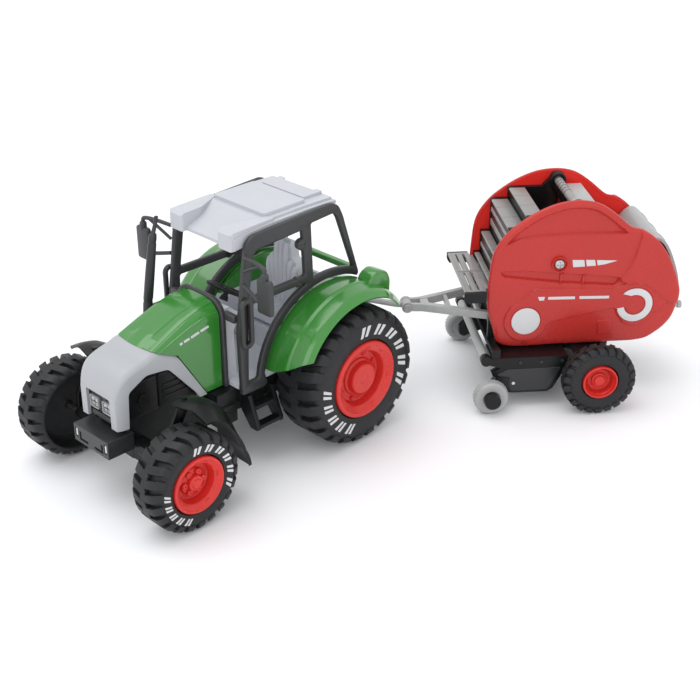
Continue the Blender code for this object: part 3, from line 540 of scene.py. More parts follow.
def tyre(kind, word, side, place, body):
    """A hollow-backed tyre: carcass, two rows of lugs that alternate, and a moulded rim line."""
    cad = f"{kind}_tyre_{word}"
    low, high = span(cad, place)
    seat = barrel(f"{kind}_hub_{word}", place)[1]
    centre = (low + high) / 2
    radius = (high.z - low.z) / 2
    inner, outer = depths(low, high)
    width = outer - inner
    height = LUG_HEIGHT[kind]
    carcass = radius - height
    bore, web = barrel(f"{kind}_axle", place)[1] + BORE_GAP, width - WEB_DEPTH
    profile = [(carcass - 1.3, 0), (carcass - 0.2, 0.9), (carcass, 0.2 * width),
               (carcass + 0.15, 0.5 * width), (carcass, 0.8 * width), (carcass - 0.5, width - 1.4),
               (carcass - 1.9, width - 0.35), (0.5 * (carcass + seat), width),
               (seat + 2.2, width - 0.1), (seat + 1.1, width - 0.45), (seat + 0.75, width - 0.3),
               (seat + 0.3, width - 0.9), (seat + 0.3, web + 1.2), (bore, web + 1.2), (bore, web),
               (carcass - 5.0, web), (carcass - 3.2, web - 1.6), (carcass - 2.6, 1.2),
               (carcass - 2.2, 0)]
    skin = turned(fillet(profile, 0.7, 2), STEPS[kind], (centre.x, side * inner, centre.z),
                  (0, side, 0))
    pitch = 2 * pi / LUGS[kind]
    lugs = [tread_lug(centre, side, inner, width, radius, height, pitch, (k + offset) * pitch, hand)
            for hand, offset in ((1, 0.0), (-1, 0.5)) for k in range(LUGS[kind])]
    piece(f"{kind}_tread_{word}", merged(skin, *lugs), RUBBER, place, body, "tyre_black", cad,
          bevel=0.14, segments=2, crease=32)
    if kind != "baler":
        sidewall_marks(f"{kind}_marks_{word}", side, centre, side * (outer + 0.02), seat, carcass,
                       place, body)


def sidewall_marks(name, side, centre, face, seat, carcass, place, body):
    """Plain slanted bars printed on the sidewall, in two groups."""
    low, high = seat + 0.26 * (carcass - seat), seat + 0.68 * (carcass - seat)
    bars = []
    for start, end, count in ((82, 214, 18), (-72, 14, 15)):
        for k in range(count):
            if k % 3 == 2:
                continue
            angle = radians(start + (end - start) * (k + 0.5) / count)
            half = radians((end - start) / count) * 0.30
            lean = radians(2.2)
            ring = [(low, angle - half - lean), (low, angle + half - lean),
                    (high, angle + half + lean), (high, angle - half + lean)]
            outline = fillet([(centre.x + side * r * cos(a), centre.z + r * sin(a))
                              for r, a in ring], 0.25, 2)
            bars.append(prism(outline, face - 0.5 * side, face))
    piece(name, merged(*bars), PRINT, place, body, "tyre_black", bevel=0.04, segments=1)


def hub(kind, word, side, place, body):
    """A dished wheel centre with a deep bowl, its boss and the small parts moulded round it."""
    cad = f"{kind}_hub_{word}"
    low, high = span(cad, place)
    centre = (low + high) / 2
    rim = (high.z - low.z) / 2
    back, face = depths(low, high)
    depth = face - back
    start = (centre.x, side * back, centre.z)
    bowl, floor = {"rear": (0.72, 1.5), "front": (0.70, 1.4), "baler": (0.80, 2.6)}[kind]
    profile = [(0, 0.3), (rim - 0.2, 0.3), (rim, 0.8), (rim, depth - 0.6), (rim * 0.975, depth),
               (rim * 0.90, depth), (rim * 0.87, depth - 0.45), (rim * (bowl + 0.07), depth - 1.2),
               (rim * bowl, depth - 1.9), (rim * (bowl - 0.05), floor + 0.3),
               (rim * (bowl - 0.08), floor)]
    extras = []
    if kind == "rear":
        profile += [(8.3, floor), (8.0, floor + 0.9), (7.0, floor + 1.2), (6.7, 5.2), (6.3, 5.7),
                    (2.2, 5.7), (2.0, 5.5), (0, 5.5)]
        extras += [bolt(centre, side, back + floor, 9.9, 45 * k + 20, 0.85, 1.0) for k in range(8)]
        extras += [rim_pad(centre, side, back + depth - 1.15, rim * 0.835, 60 * k + 12)
                   for k in range(6)]
    elif kind == "front":
        profile += [(5.6, floor), (5.4, 2.4), (3.4, 2.7), (3.1, 4.6), (2.0, 4.8), (1.8, 5.3), (0, 5.4)]
        extras += [bolt(centre, side, back + 2.2, 4.4, 60 * k, 1.25, 1.5) for k in range(6)]
        extras += [rim_pad(centre, side, back + depth - 1.15, rim * 0.82, 72 * k + 30)
                   for k in range(5)]
    else:
        profile += [(5.3, floor), (5.0, 3.5), (4.3, 3.5), (4.1, 3.0), (3.4, 3.0), (3.2, 4.2),
                    (2.5, 4.3), (2.3, 5.2), (0, 5.4)]
    bowl_skin = lathe(profile, 0.35, STEPS[kind], start, (0, side, 0), 3)
    piece(f"{kind}_wheel_{word}", merged(bowl_skin, *extras), HUB_RED, place, body, "red_gloss", cad,
          crease=38)


def bolt(centre, side, base, orbit, degrees, radius, height):
    """A domed bolt head standing on the wheel's floor."""
    a = radians(degrees)
    foot = (centre.x + orbit * cos(a), side * (base - 0.3), centre.z + orbit * sin(a))
    profile = [(radius, 0), (radius, height * 0.8 + 0.3), (radius * 0.75, height + 0.3),
               (radius * 0.35, height + 0.3), (radius * 0.3, height), (0, height)]
    return turned([(0, 0)] + profile, 16, foot, (0, side, 0), closed=False)


def rim_pad(centre, side, face, orbit, degrees):
    """A small raised pad on the sloping rim."""
    pad = soft_block((-0.65, -0.5, -1.2), (0.65, 0.28, 1.2), 0.15, 2)
    a = radians(degrees)
    pad.transform(Matrix.Translation((centre.x + orbit * cos(a), side * face,
                                      centre.z + orbit * sin(a)))
                  @ Matrix.Rotation(-a, 4, "Y") @ Matrix.Diagonal((1, side, 1, 1))
                  @ Matrix.Rotation(radians(-22), 4, "Z"))
    bmesh.ops.recalc_face_normals(pad, faces=pad.faces)
    return pad


def axle(kind, place, body):
    """A ground steel rod with chamfered ends."""
    foot, radius, length = barrel(f"{kind}_axle", place)
    profile = [(0, 0), (radius - 0.3, 0), (radius, 0.3), (radius, length - 0.3),
               (radius - 0.3, length), (0, length)]
    piece(f"{kind}_axle_rod", turned(profile, 28, foot, closed=False), STEEL, place, body, "steel",
          f"{kind}_axle")


def wheels():
    """Both axles of the tractor and the baler's one, each with its tyres and hubs."""
    for kind, place in (("rear", TRACTOR), ("front", TRACTOR), ("baler", BALER)):
        body = f"{kind}_wheels"
        axle(kind, place, body)
        for word, side in SIDES:
            tyre(kind, word, side, place, body)
            hub(kind, word, side, place, body)


# ---------------------------------------------------------------- tractor: hood and nose

HOOD_HALF, NOSE_HALF = 13.0, 12.6
SKIN = 1.4                                  # wall of the hood and the nose
HOOD_TOP = [(49.3, 70.4), (56, 69.8), (64, 67.5), (72, 64.3), (85, 58.6)]
NOSE_TOP = [(57, 47.5), (70, 55.4), (80, 59.9), (86, 58.6), (92, 57.1), (96.2, 55.0), (98.7, 51.8),
            (100, 47.5)]
SEAM = [(80.4, 60.1), (70.4, 55.4), (57.3, 33.9)]      # where the hood meets the nose, seen from the side


SHOULDER = [(0, 0), (14, 0), (27, 0), (30, 0.32), (40, 0.3), (50, 0.28), (60, 0.3), (65, 0.32),
            (68, 0), (79, 0), (90, 0)]                 # angle, depth of the sunk band


def mirrored(half):
    """A ring from its left half, which starts low on the left and ends near the middle."""
    return half + [(-y, z) for y, z in reversed(half)]


def hood_ring(x, inset):
    """The hood's section: flat cheeks, a rolled shoulder with a sunk band, a raised middle."""
    half, top = HOOD_HALF - inset, mix(HOOD_TOP, x) - inset
    corner = mix([(49.3, 6.5), (85, 3.2)], x)
    shoulder = []
    for degrees, sunk in SHOULDER:
        reach, turn = corner - (0 if inset else sunk), radians(degrees)
        shoulder.append((half - corner + reach * cos(turn), top - corner + reach * sin(turn)))
    if inset:
        return [(x, y, z) for y, z in mirrored([(half, 30)] + shoulder)]
    rise = 0.35 * mix([(76, 1), (82, 0)], x)
    panel = mix([(49.3, 5.6), (85, 4.2)], x)
    left = [(half, 30)] + shoulder + [(panel + 0.5, top + 0.05), (panel, top + 0.1 + rise),
                                      (panel / 2, top + 0.25 + rise)]
    return [(x, y, z) for y, z in mirrored(left)]


def behind_seam(shift):
    """The space behind the seam, whose front bows forward in the middle. A shifted space also
    reaches further down, so that it cuts the nose to its very edge."""
    rings = []
    longer = 5 if shift else 0
    foot = (SEAM[2][0] + shift - 0.61 * longer, SEAM[2][1] - longer)
    for k in range(25):
        y = -18 + 1.5 * k
        bow = 1.9 * max(0.0, 1 - (y / HOOD_HALF) ** 2) + shift
        rings.append([(40, y, foot[1]), (40, y, 80), (84 + bow, y, 80),
                      (SEAM[0][0] + bow, y, SEAM[0][1]),
                      (SEAM[1][0] + shift + 0.4 * bow, y, SEAM[1][1]), (foot[0], y, foot[1])])
    return loft(rings)


def hood():
    """The hood's hollow shell, cut along the seam, and plain stripes on its cheeks."""
    stations = np.linspace(49.3, 85, 26)
    body = keep(loft([hood_ring(x, 0) for x in stations]), behind_seam(0))
    body = cut(body, loft([hood_ring(x, SKIN) for x in np.linspace(47, 90, 18)]),
               block((45, -11.6, 20), (90, 11.6, 50)))
    bmesh.ops.remove_doubles(body, verts=body.verts, dist=0.02)
    bmesh.ops.dissolve_degenerate(body, edges=body.edges, dist=0.02)
    piece("hood_shell", body, GREEN, *ON_TRACTOR, "green_gloss", "hood", crease=28)
    stripes = []
    for side in (1, -1):
        for start, end in ((54.5, 58.6), (59.3, 63.4), (64.1, 66.9), (67.6, 69.0)):
            ring = [(start, 0.0), (end, 0.0), (end + 0.4, 1.15), (start + 0.4, 1.15)]
            outline = [(x, 62.0 - 0.2 * (x - 54.5) + z) for x, z in ring]
            stripes.append(prism(outline, side * (HOOD_HALF - 0.4), side * (HOOD_HALF + 0.03)))
    piece("hood_stripes", merged(*stripes), PRINT, *ON_TRACTOR, "green_gloss")


def nose_ring(x, top, inset):
    """The nose's section, which narrows towards its tip."""
    half = NOSE_HALF - inset - 1.5 * max(0.0, (x - 93.5) / 6.5) ** 2.5
    corner = 3.0 - inset * 0.6
    left = [(half, 20 if inset else 30)] + arc((half - corner, top - corner), corner, 0, 90, 9)
    left.append((half * 0.35, top + 0.25))
    return [(x, y, z) for y, z in mirrored(left)]


def nose():
    """The nose's hollow shell with its wheel-arch cuts and the opening for the grille."""
    profile = smooth(NOSE_TOP, 5, closed=False)
    body = loft([nose_ring(x, z, 0) for x, z in profile])
    hollow = [(x if x < 80 else 80 + (x - 80) * 0.93, z - (1.3 if x > 76 else 1.6)) for x, z in profile]
    inside = loft([nose_ring(x, z, SKIN) for x, z in hollow])
    arch = fillet([(95.2, 15), (95.2, 32.8), (94.3, 48), (85.6, 52.4), (75, 51.0), (61.2, 34.3),
                   (58, 15)], 1.8)
    grille = fillet([(-7.6, 20), (-7.6, 45.3), (7.6, 45.3), (7.6, 20)], 1.1)
    body = cut(body, behind_seam(0.25), inside, prism(arch, -20, 20), prism(grille, 96, 104, "X"),
               block((50, -20, 20), (104, 20, 32.8)))
    piece("nose_shell", body, NOSE, *ON_TRACTOR, "pale_grey", "nose_cowl", bevel=0.45,
          crease=38)


def grille():
    """The dark panel in the nose, its trim and ribs, and two framed headlights."""
    _, high = span("grille_panel", TRACTOR)
    face = high.x - 1.2
    panel = pierced(rect(-9.4, 33.2, 9.4, 45.9), [], 96.1, face, 0.2, "X")
    trim = [pierced(fillet(rect(-7.3, 43.2, 7.3, 44.6), 0.3), [], face - 0.4, face + 0.3, 0.12, "X"),
            pierced(fillet([(-7.3, 33.6), (7.3, 33.6), (6.2, 36.0), (-6.2, 36.0)], 0.4), [], face - 0.4,
                    face + 0.7, 0.2, "X")]
    ribs = [block((face - 0.3, -0.9, z), (face + 0.35, 0.9, z + 0.5)) for z in (37.2, 38.6, 40, 41.4)]
    piece("grille_face", merged(panel, *trim, *ribs), DARK, *ON_TRACTOR, "light_grey",
          "grille_panel")
    housings, lenses = [], []
    for side in (1, -1):
        outline = fillet(rect(1.3 * side, 37.2, 6.8 * side, 42.3), 0.6)
        hole = fillet(rect(1.7 * side, 37.6, 6.4 * side, 41.9), 0.4)
        housings.append(pierced(outline, [hole], face - 0.2, high.x - 0.1, 0.15, "X"))
        for column in (2.85, 5.25):
            y = column * side
            lenses.append(lathe([(0, -0.6), (1.05, -0.6), (1.05, 0.1), (0.7, 0.45), (0, 0.55)], 0.15,
                                20, (face + 0.3, y, 40.7), (1, 0, 0)))
            lenses += [block((face - 0.2, y - 1.0, z), (face + 0.55, y + 1.0, z + 0.42))
                       for z in (38.0, 38.75)]
    piece("headlight_frames", merged(*housings), GREY, *ON_TRACTOR, "light_grey")
    piece("headlight_lenses", merged(*lenses), LENS, *ON_TRACTOR, "light_grey", bevel=0.08,
          segments=2)


def weight_block():
    """The dark block at the front with two slots, a groove on top and two pale markers."""
    low, high = span("front_weight_block", TRACTOR)
    body = block(low, high)
    for side in (1, -1):
        slot = prism([(7.6 * side, 23.6), (2.2 * side, 23.6), (2.2 * side, 24.6), (6.6 * side, 24.6),
                      (6.6 * side, 27.4), (7.6 * side, 27.4)], high.x - 1.0, high.x + 2, "X")
        body = cut(body, slot, block((high.x - 0.6, side * 8.7, 24.3), (high.x + 1, side * 10.3, 28.4)))
    body = cut(body, block((low.x + 0.8, -9.4, high.z - 0.9), (low.x + 3.4, 9.4, high.z + 1)))
    piece("weight_casting", body, DARK, *ON_TRACTOR, "dark_grey", "front_weight_block",
          bevel=0.3)
    markers = [pierced(fillet(rect(9.05 * s, 24.8, 9.95 * s, 27.9), 0.2), [], high.x - 0.7,
                       high.x - 0.15, 0.08, "X") for s in (1, -1)]
    piece("weight_markers", merged(*markers), PRINT, *ON_TRACTOR, "dark_grey")


def cowl():
    """The dark bow behind the hood, and a strut from it to each front pillar."""
    _, high = span("cowl_arch", TRACTOR)
    outer = [(14.4, 33.2)] + arc((6.8, 64.0), 7.6, 0, 90, 10)
    inner = [(12.0, 33.2)] + arc((6.1, 63.3), 5.9, 0, 90, 10)
    outline = mirrored(outer) + mirrored(inner)[::-1]
    bow = pierced(outline, [], high.x - 2.3, high.x, 0.7, "X")
    struts = [soft_block((44.9, 12.9 * s, 63.1), (47.5, high.y * s, 66.3), 0.5) for s in (1, -1)]
    piece("cowl_bow", merged(bow, *struts), CABIN, *ON_TRACTOR, "dark_grey", "cowl_arch")


def chassis():
    """The chassis as the CAD has it, and the engine panels and shaft covers on its sides."""
    refined("chassis", BLACK, "black", bevel=0.4)
    panels = []
    for s in (1, -1):
        for low_x, high_x in ((60.5, 78.4), (79.0, 93.6)):
            panels.append(pierced(fillet(rect(low_x, 34, high_x, 49), 1.2), [], s * 8.7, s * 9.7, 0.3))
        panels += [block((62.5, s * 9.3, z), (76.5, s * 10.1, z + 0.9)) for z in (37.5, 40.2, 42.9)]
        panels.append(rod((86, s * 9.2, 41), (86, s * 10.6, 41), 2.6))
        panels.append(rod((47.5, s * 17.2, 25.5), (54.5, s * 17.2, 25.5), 1.6))
        panels.append(rod((89.7, s * 12, 20.56), (89.7, s * 30.2, 20.56), 2.6))
        panels.append(rod((0, s * 10, 30), (0, s * 21.2, 30), 5.2, 32, 4.2))
    piece("engine_panels", merged(*panels), BLACK, *ON_TRACTOR, "black", bevel=0.2, segments=2)


# ---------------------------------------------------------------- tractor: cab

def cab_tub():
    """The cab's floor and walls, and three dials on the dashboard."""
    cover = span("cab_tub", TRACTOR)[1].y - 2.4            # inside of the wheel covers
    sill = 56                                              # above it, the covers are green
    # the tub takes the brightened pale grey: painted light against the roof's shade
    refined("cab_tub", PALE_PAINTED_LIGHT, "pale_grey", bevel=0.5, upper=(GREEN, cover, sill))
    dials = [lathe([(0, -0.4), (1.5, -0.4), (1.5, 0.35), (1.2, 0.35), (1.1, 0.1), (0, 0.1)], 0.1, 24,
                   (40.0, y, 63.9), (-0.64, 0, 0.77)) for y in (-4.2, 0, 4.2)]
    piece("dash_dials", merged(*dials), CABIN, *ON_TRACTOR, "pale_grey")


def seat():
    """A cushion and a fluted back with a narrower head."""
    cushion = prism(fillet([(-2, -8.6), (16.5, -8.6), (16.5, 8.6), (-2, 8.6)], 2.4), 47.4, 51.6, "Z")
    flutes = []
    tops = {0: 80.6, 1: 80.3, 2: 72.6, 3: 70.6}
    for k in range(-3, 4):
        y = 2.6 * k
        top = tops[abs(k)]
        path = [(3.0, y, 50.8), (3.3, y, 58), (3.9, y, 66), (3.4, y, min(76, top - 2)),
                (2.4, y, top - 1.2)]
        flutes.append(tube(path, 1.42, 5, 3))
        flutes.append(tube([(3.5, y, 51.3), (9, y, 51.7), (14.8, y, 51.2)], 1.42, 5, 3))
    side = [(-3.2, 50), (2.9, 50), (3.3, 66), (3.0, 79.2), (1.4, 80.7), (-0.9, 79.6)]
    front = fillet([(-9.4, 50), (9.4, 50), (9.4, 68), (7.9, 71.6), (5.6, 73.0), (5.3, 78), (3.6, 80.9),
                    (-3.6, 80.9), (-5.3, 78), (-5.6, 73.0), (-7.9, 71.6), (-9.4, 68)], 1.6)
    back = keep(prism(fillet(side, 1.2), -9.5, 9.5), prism(front, -6, 8, "X"))
    # the seat takes the brightened pale grey: painted light against the roof's shade
    piece("seat_shell", merged(cushion, back), PALE_PAINTED_LIGHT, *ON_TRACTOR, "pale_grey", "seat",
          bevel=0.6)
    piece("seat_flutes", merged(*flutes), PALE_PAINTED_LIGHT, *ON_TRACTOR, "pale_grey")


def steering():
    """The steering wheel's rim, three spokes, hub and column."""
    centre, lean = Vector((33.8, 0, 67.2)), Vector((-0.53, 0, 0.85)).normalized()
    ring = [(8.2 + 0.92 * cos(a), 0.92 * sin(a)) for a in (k * pi / 6 for k in range(12, 0, -1))]
    rim = turned(ring, 48, centre, lean)
    hub = lathe([(0, -1.2), (2.0, -1.2), (2.2, 0.4), (1.4, 1.0), (0, 1.0)], 0.3, 28, centre, lean)
    across = Vector((0, 1, 0))
    down = lean.cross(across)
    spokes = [tube([centre + 1.2 * way, centre + 5 * way - 0.5 * lean, centre + 8.2 * way], 0.62, 5, 3)
              for way in (sin(radians(a)) * across + cos(radians(a)) * down for a in (90, 210, 330))]
    column = rod(centre, centre - 4.6 * lean, 1.1)
    boot = rod(centre - 2.6 * lean, centre - 4.6 * lean, 1.5, 24, 2.0)
    piece("steering_rim", merged(rim, hub, column, boot, *spokes), BLACK, *ON_TRACTOR,
          "dark_grey", "steering_wheel")


ARCH_C, ARCH_R, RAIL_W = (-2.0, 31.0), 36.8, 3.5     # wheel arch of the cab's side frames


def cab_frame(word, side):
    """Roof rail, three pillars, belt bar and wheel arch rail, with hinge knobs on pillar and bar."""
    cad = f"cab_frame_{word}"
    inner, outer = depths(*span(cad, TRACTOR))
    outline = fillet([(34.4, 31.2), (46.6, 31.2), (47.2, 60), (42.4, 92.8), (41.3, 96.2), (38.2, 98.4),
                      (-4.5, 100.2), (-8.2, 98.4), (-10.6, 93.6), (-20.2, 64.6)], 1.6) \
        + arc(ARCH_C, ARCH_R, 117, 10, 30)
    rail = ARCH_R + RAIL_W
    holes = [fillet([(41.0, 73.2), (38.2, 90.3), (36.2, 92.0), (12.3, 93.2), (11.0, 73.2)], 1.3),
             fillet([(41.6, 69.8), (42.9, 36.2), (37.9, 36.2)] + arc(ARCH_C, rail, 14, 71, 16)
                    + [(10.9, 69.8)], 1.0),
             fillet(arc(ARCH_C, rail, 78, 111, 10) + [(-7.3, 93.2), (-5.4, 95.6), (7.4, 94.8)], 1.0)]
    plate = pierced(outline, holes, side * inner, side * outer, 0.7)
    extras = []
    for x, z, r in ((12.6, 87.2, 2.3), (15.2, 71.4, 2.1)):
        knob = lathe([(0, 0), (r, 0), (r, 2.2), (r - 0.5, 2.55), (0, 2.55)], 0.25, 28,
                     (x, side * inner, z), (0, side, 0))
        holes = [rod((x + dx, side * (outer - 0.4), z + 0.1), (x + dx, side * (outer + 1), z + 0.1),
                     0.34, 12) for dx in (-0.85, 0.85)]
        extras.append(cut(knob, *holes))
    extras.append(block((9.4, side * (inner + 0.3), 84.6), (12.2, side * (outer - 0.2), 89.6)))
    piece(f"side_frame_{word}", merged(plate, *extras), CABIN, *ON_TRACTOR, "dark_grey", cad,
          crease=34)


def roof():
    """A slab with a lower ledge along each side, a slope between two tall lamp housings at the
    front, a raised centre panel and a hatch at the back."""
    _, high = span("roof", TRACTOR)
    edge = high.y
    ledge = [(45.4, 93.2), (45.4, 97.4), (44.2, 98.4), (27, 99.8), (6, 100.0), (-9.2, 99.7),
             (-9.2, 98.3), (20, 95.8), (36, 94.4)]
    deck = [(44.2, 92.9), (44.2, 94.3), (42.8, 95.3), (27.6, 100.8), (6, 101.0), (-8.5, 100.7),
            (-8.5, 98.6), (20, 96), (36, 94.2)]
    crown = [(46.4, 92.8), (46.4, 99.5), (45.2, 100.5), (27, 101.1), (24, 101.0), (24, 96),
             (36, 94.2)]
    parts = [prism(deck, -17.7, 17.7)]
    for s in (1, -1):
        parts.append(prism(ledge, s * 17.0, s * edge))
        plan = fillet([(46.4, 10.7 * s), (46.4, 19.0 * s), (24, 19.0 * s), (24, 16.0 * s),
                       (36.5, 10.7 * s)], 1.3)
        parts.append(keep(prism(plan, 88, 104, "Z"), prism(crown, -20, 20)))
    parts.append(prism(fillet(rect(3.8, -15.4, 26.2, 15.4), 1.6), 100.2, high.z, "Z"))
    hatch = fillet([(-8.3, -12.6), (2.4, -12.6), (2.4, 12.6), (-8.3, 12.6), (-8.3, 9.6), (-6.4, 9.0),
                    (-6.4, -9.0), (-8.3, -9.6)], 0.8)
    parts.append(prism(hatch, 100.2, high.z - 0.3, "Z"))
    parts.append(prism([(-9.2, 95.8), (-9.2, 99.2), (-7.8, 99.2), (-7.8, 95.8)], -edge + 0.4,
                       edge - 0.4))
    piece("roof_shell", merged(*parts), PALE, *ON_TRACTOR, "pale_grey", "roof", bevel=0.55,
          crease=14)


def mirror(word, side):
    """A mirror on its three-armed bracket."""
    cad = f"mirror_{word}"
    near = 22.8 * side
    housing = pierced(fillet(rect(33.4 * side, 73, 41.4 * side, 87.6), 1.5), [], 44.9, 47.1, 0.7, "X")
    arms = [tube([(43.0, near, 91.4), (44.6, 30 * side, 92.0), (45.6, 36.2 * side, 91.6),
                  (46, 37.4 * side, 90.2), (46, 37.4 * side, 86)], 0.85),
            tube([(43.3, near, 85.6), (44.4, 29 * side, 89.0), (45.2, 34.8 * side, 91.9)], 0.7),
            tube([(43.8, near, 79.5), (45.0, 29 * side, 77.8), (46, 34.5 * side, 76.5)], 0.85)]
    sleeve = lathe([(0, 0), (1.5, 0), (1.5, 3.0), (1.1, 3.4), (0, 3.4)], 0.3, 20,
                   (46, 37.4 * side, 86.4), (0, 0, 1))
    piece(f"mirror_arm_{word}", merged(housing, sleeve, *arms), CABIN, *ON_TRACTOR, "dark_grey",
          cad)
    glass = pierced(fillet(rect(34.3 * side, 74, 40.5 * side, 86.4), 1.0), [], 44.75, 45.3, 0.1, "X")
    piece(f"mirror_face_{word}", glass, SILVER, *ON_TRACTOR, "dark_grey")


def grab_handle(word):
    """The long narrow loop beside the front pillar."""
    cad = f"grab_handle_{word}"
    low, high = span(cad, TRACTOR)
    x, half = (low.x + high.x) / 2, (high.x - low.x) / 2
    outer = arc((x, high.z - half), half, 0, 180, 16) + arc((x, low.z + half), half, 180, 360, 16)
    inner = arc((x, high.z - half), 1.25, 0, 180, 10) + arc((x, low.z + half), 1.25, 180, 360, 10)
    piece(f"handle_loop_{word}", pierced(outer, [inner], low.y, high.y, 0.75), CABIN, *ON_TRACTOR,
          "dark_grey", cad)


STACK_LINE = [(36, 58.4), (56, 58.4), (60, 58.1), (64, 57.5), (79, 54.9), (90.8, 52.8), (94.2, 51.4),
              (98, 50.5)]                              # height, x


def exhaust():
    """A stack that leans back with the cab's pillar, with a thin open tip and a bracket."""
    y = -21.8
    rings = []
    for z, radius in ((36.6, 1.5), (47.2, 1.5), (49.0, 2.0), (56, 2.0), (62, 2.0), (62.4, 1.85),
                      (63.4, 1.85), (63.8, 2.0), (70, 2.0), (76, 1.95), (82, 1.85), (86.6, 1.75),
                      (87.0, 1.6), (87.8, 1.6), (88.2, 1.72), (90.4, 1.6), (91.1, 0.95), (93, 0.88),
                      (95.2, 0.85), (97.6, 0.85), (97.7, 0.55), (95.8, 0.5)):
        x = mix(STACK_LINE, z)
        rings.append([(x + radius * cos(a), y + radius * sin(a), z)
                      for a in (2 * pi * k / 28 for k in range(28))])
    bracket = soft_block((47.6, y - 0.6, 57.2), (58, y + 1.1, 60.8), 0.4)
    piece("exhaust_pipe", merged(loft(rings), bracket), DARK, *ON_TRACTOR, "dark_grey",
          "exhaust_stack")


# ---------------------------------------------------------------- tractor: fenders, steps, hitch

def thickened(point, along, across, thickness):
    """A closed sheet about the surface point(u, v), for u and v from 0 to 1."""
    grid = np.array([[point(u, v) for v in np.linspace(0, 1, across + 1)]
                     for u in np.linspace(0, 1, along + 1)])
    run, rise = np.gradient(grid, axis=0), np.gradient(grid, axis=1)
    normal = np.cross(run, rise)
    normal /= np.linalg.norm(normal, axis=2, keepdims=True)
    rings = []
    for top, low in zip(grid + normal * thickness / 2, grid - normal * thickness / 2):
        rings.append([tuple(p) for p in top] + [tuple(p) for p in low[::-1]])
    return loft(rings)


FRONT_CREST = [(99, 25.7), (110, 27.8), (120, 29.0), (132, 29.3), (145, 28.3), (156, 27.2),
               (174, 26.6), (190, 28.4)]              # angle, radius about the front axle
FRONT_DROP = [(99, 4.2), (142, 4.6), (162, 2.4), (180, 0.7), (190, 0.3)]


def front_fender(word, side):
    """A curved guard over a front wheel, with a drooping lip, its bracket and a small peg."""
    axle_x = (middle("front_axle") - middle("rear_axle")).x / MM
    axle_z = middle("front_axle").z / MM

    def surface(u, v):
        start = 100 + 8 * v ** 1.5
        angle = start + (190 - start) * u
        drop = mix(FRONT_DROP, angle) * max(0.0, (v - 0.45) / 0.55) ** 1.4
        drop += 0.6 * max(0.0, 1 - v / 0.25)
        radius = mix(FRONT_CREST, angle) - drop
        return (axle_x + radius * cos(radians(angle)), (27.3 + 16.5 * v) * side,
                axle_z + radius * sin(radians(angle)))
    blade = thickened(surface, 48, 18, 1.1)
    lip = thickened(lambda u, v: tuple(Vector(surface(u, 0.97 + 0.03 * v)) + Vector((0, 0, -0.3))), 48, 2,
                    1.3)
    bracket = pierced(fillet([(78, 45.4), (84.4, 44.8), (91.6, 30), (91.6, 22.8), (87.4, 22.8),
                              (86.4, 30)], 0.8), [], side * 27.8, side * 29.6, 0.35)
    seat_pad = rod((80.9, side * 28.7, 44.4), (80.6, side * 28.7, 47.7), 1.3, 20)
    piece(f"front_guard_{word}", merged(blade, lip, bracket, seat_pad), BLACK, *ON_TRACTOR,
          "dark_grey", f"front_fender_{word}", bevel=0.3, segments=2, crease=50)


REAR_SECTION = [(20.4, 35.3), (24, 36.1), (28, 36.6), (34.2, 37.25), (34.9, 36.75), (40.2, 35.9),
                (41.4, 35.3), (43.6, 33.4)]            # across the fender: y, radius


def rear_fender(word, side):
    """A crowned guard over a rear wheel with a pod at its tail, and the lamp in the pod."""
    def surface(u, v):
        y = 20.4 + 23.2 * v
        radius = mix(REAR_SECTION, y)
        start = 12 + 17 * v ** 2
        angle = radians(start + (135 - start) * u)
        tail = max(0.0, u - 0.8) / 0.2
        return (ARCH_C[0] + radius * cos(angle), (y - 3.0 * tail * v) * side,
                ARCH_C[1] + radius * sin(angle) - 1.5 * tail)
    blade = thickened(surface, 72, 46, 1.1)
    pod_side = fillet([(-10.5, 65.5), (-12.5, 69.6), (-16.8, 71.4), (-21.8, 69.6), (-23.8, 65.6),
                       (-23.4, 57.8), (-15, 61)], 1.8)
    pod = pierced(pod_side, [], side * 29.4, side * 37.4, 1.2)
    lamp = pierced(fillet(rect(30.4 * side, 60.3, 36.4 * side, 65.4), 0.8), [], -24.0, -22.8, 0.2, "X")
    piece(f"rear_guard_{word}", merged(blade, pod), GREEN, *ON_TRACTOR, "green_gloss",
          f"rear_fender_{word}", bevel=0.25, segments=2, crease=50)
    piece(f"tail_lamp_{word}", lamp, HUB_RED, *ON_TRACTOR, "green_gloss")


def small_tractor_parts():
    """The crossbar, the steps and the hitch fork as the CAD has them, and the hitch's bolt."""
    refined("fender_crossbar", GREEN, "green_gloss", bevel=0.6)
    for word, _ in SIDES:
        refined(f"step_{word}", BLACK, "black", bevel=0.35)
    refined("hitch_fork", BLACK, "black", bevel=0.4)
    low, high = span("hitch_pin", TRACTOR)
    centre = (low + high) / 2
    profile = [(0, high.z), (2.5, high.z), (2.9, high.z - 0.5), (2.9, high.z - 1.9), (1.4, high.z - 1.9),
               (1.4, low.z + 0.6), (1.0, low.z), (0, low.z)]
    piece("hitch_bolt", lathe(profile, 0.2, 28, (centre.x, centre.y, 0), (0, 0, 1), 3), STEEL,
          *ON_TRACTOR, "steel", "hitch_pin")


def tractor_body():
    hood()
    nose()
    grille()
    weight_block()
    cowl()
    chassis()
    cab_tub()
    seat()
    steering()
    roof()
    exhaust()
    small_tractor_parts()
    for word, side in SIDES:
        cab_frame(word, side)
        mirror(word, side)
        grab_handle(word)
        front_fender(word, side)
        rear_fender(word, side)


# ---------------------------------------------------------------- baler: side shells

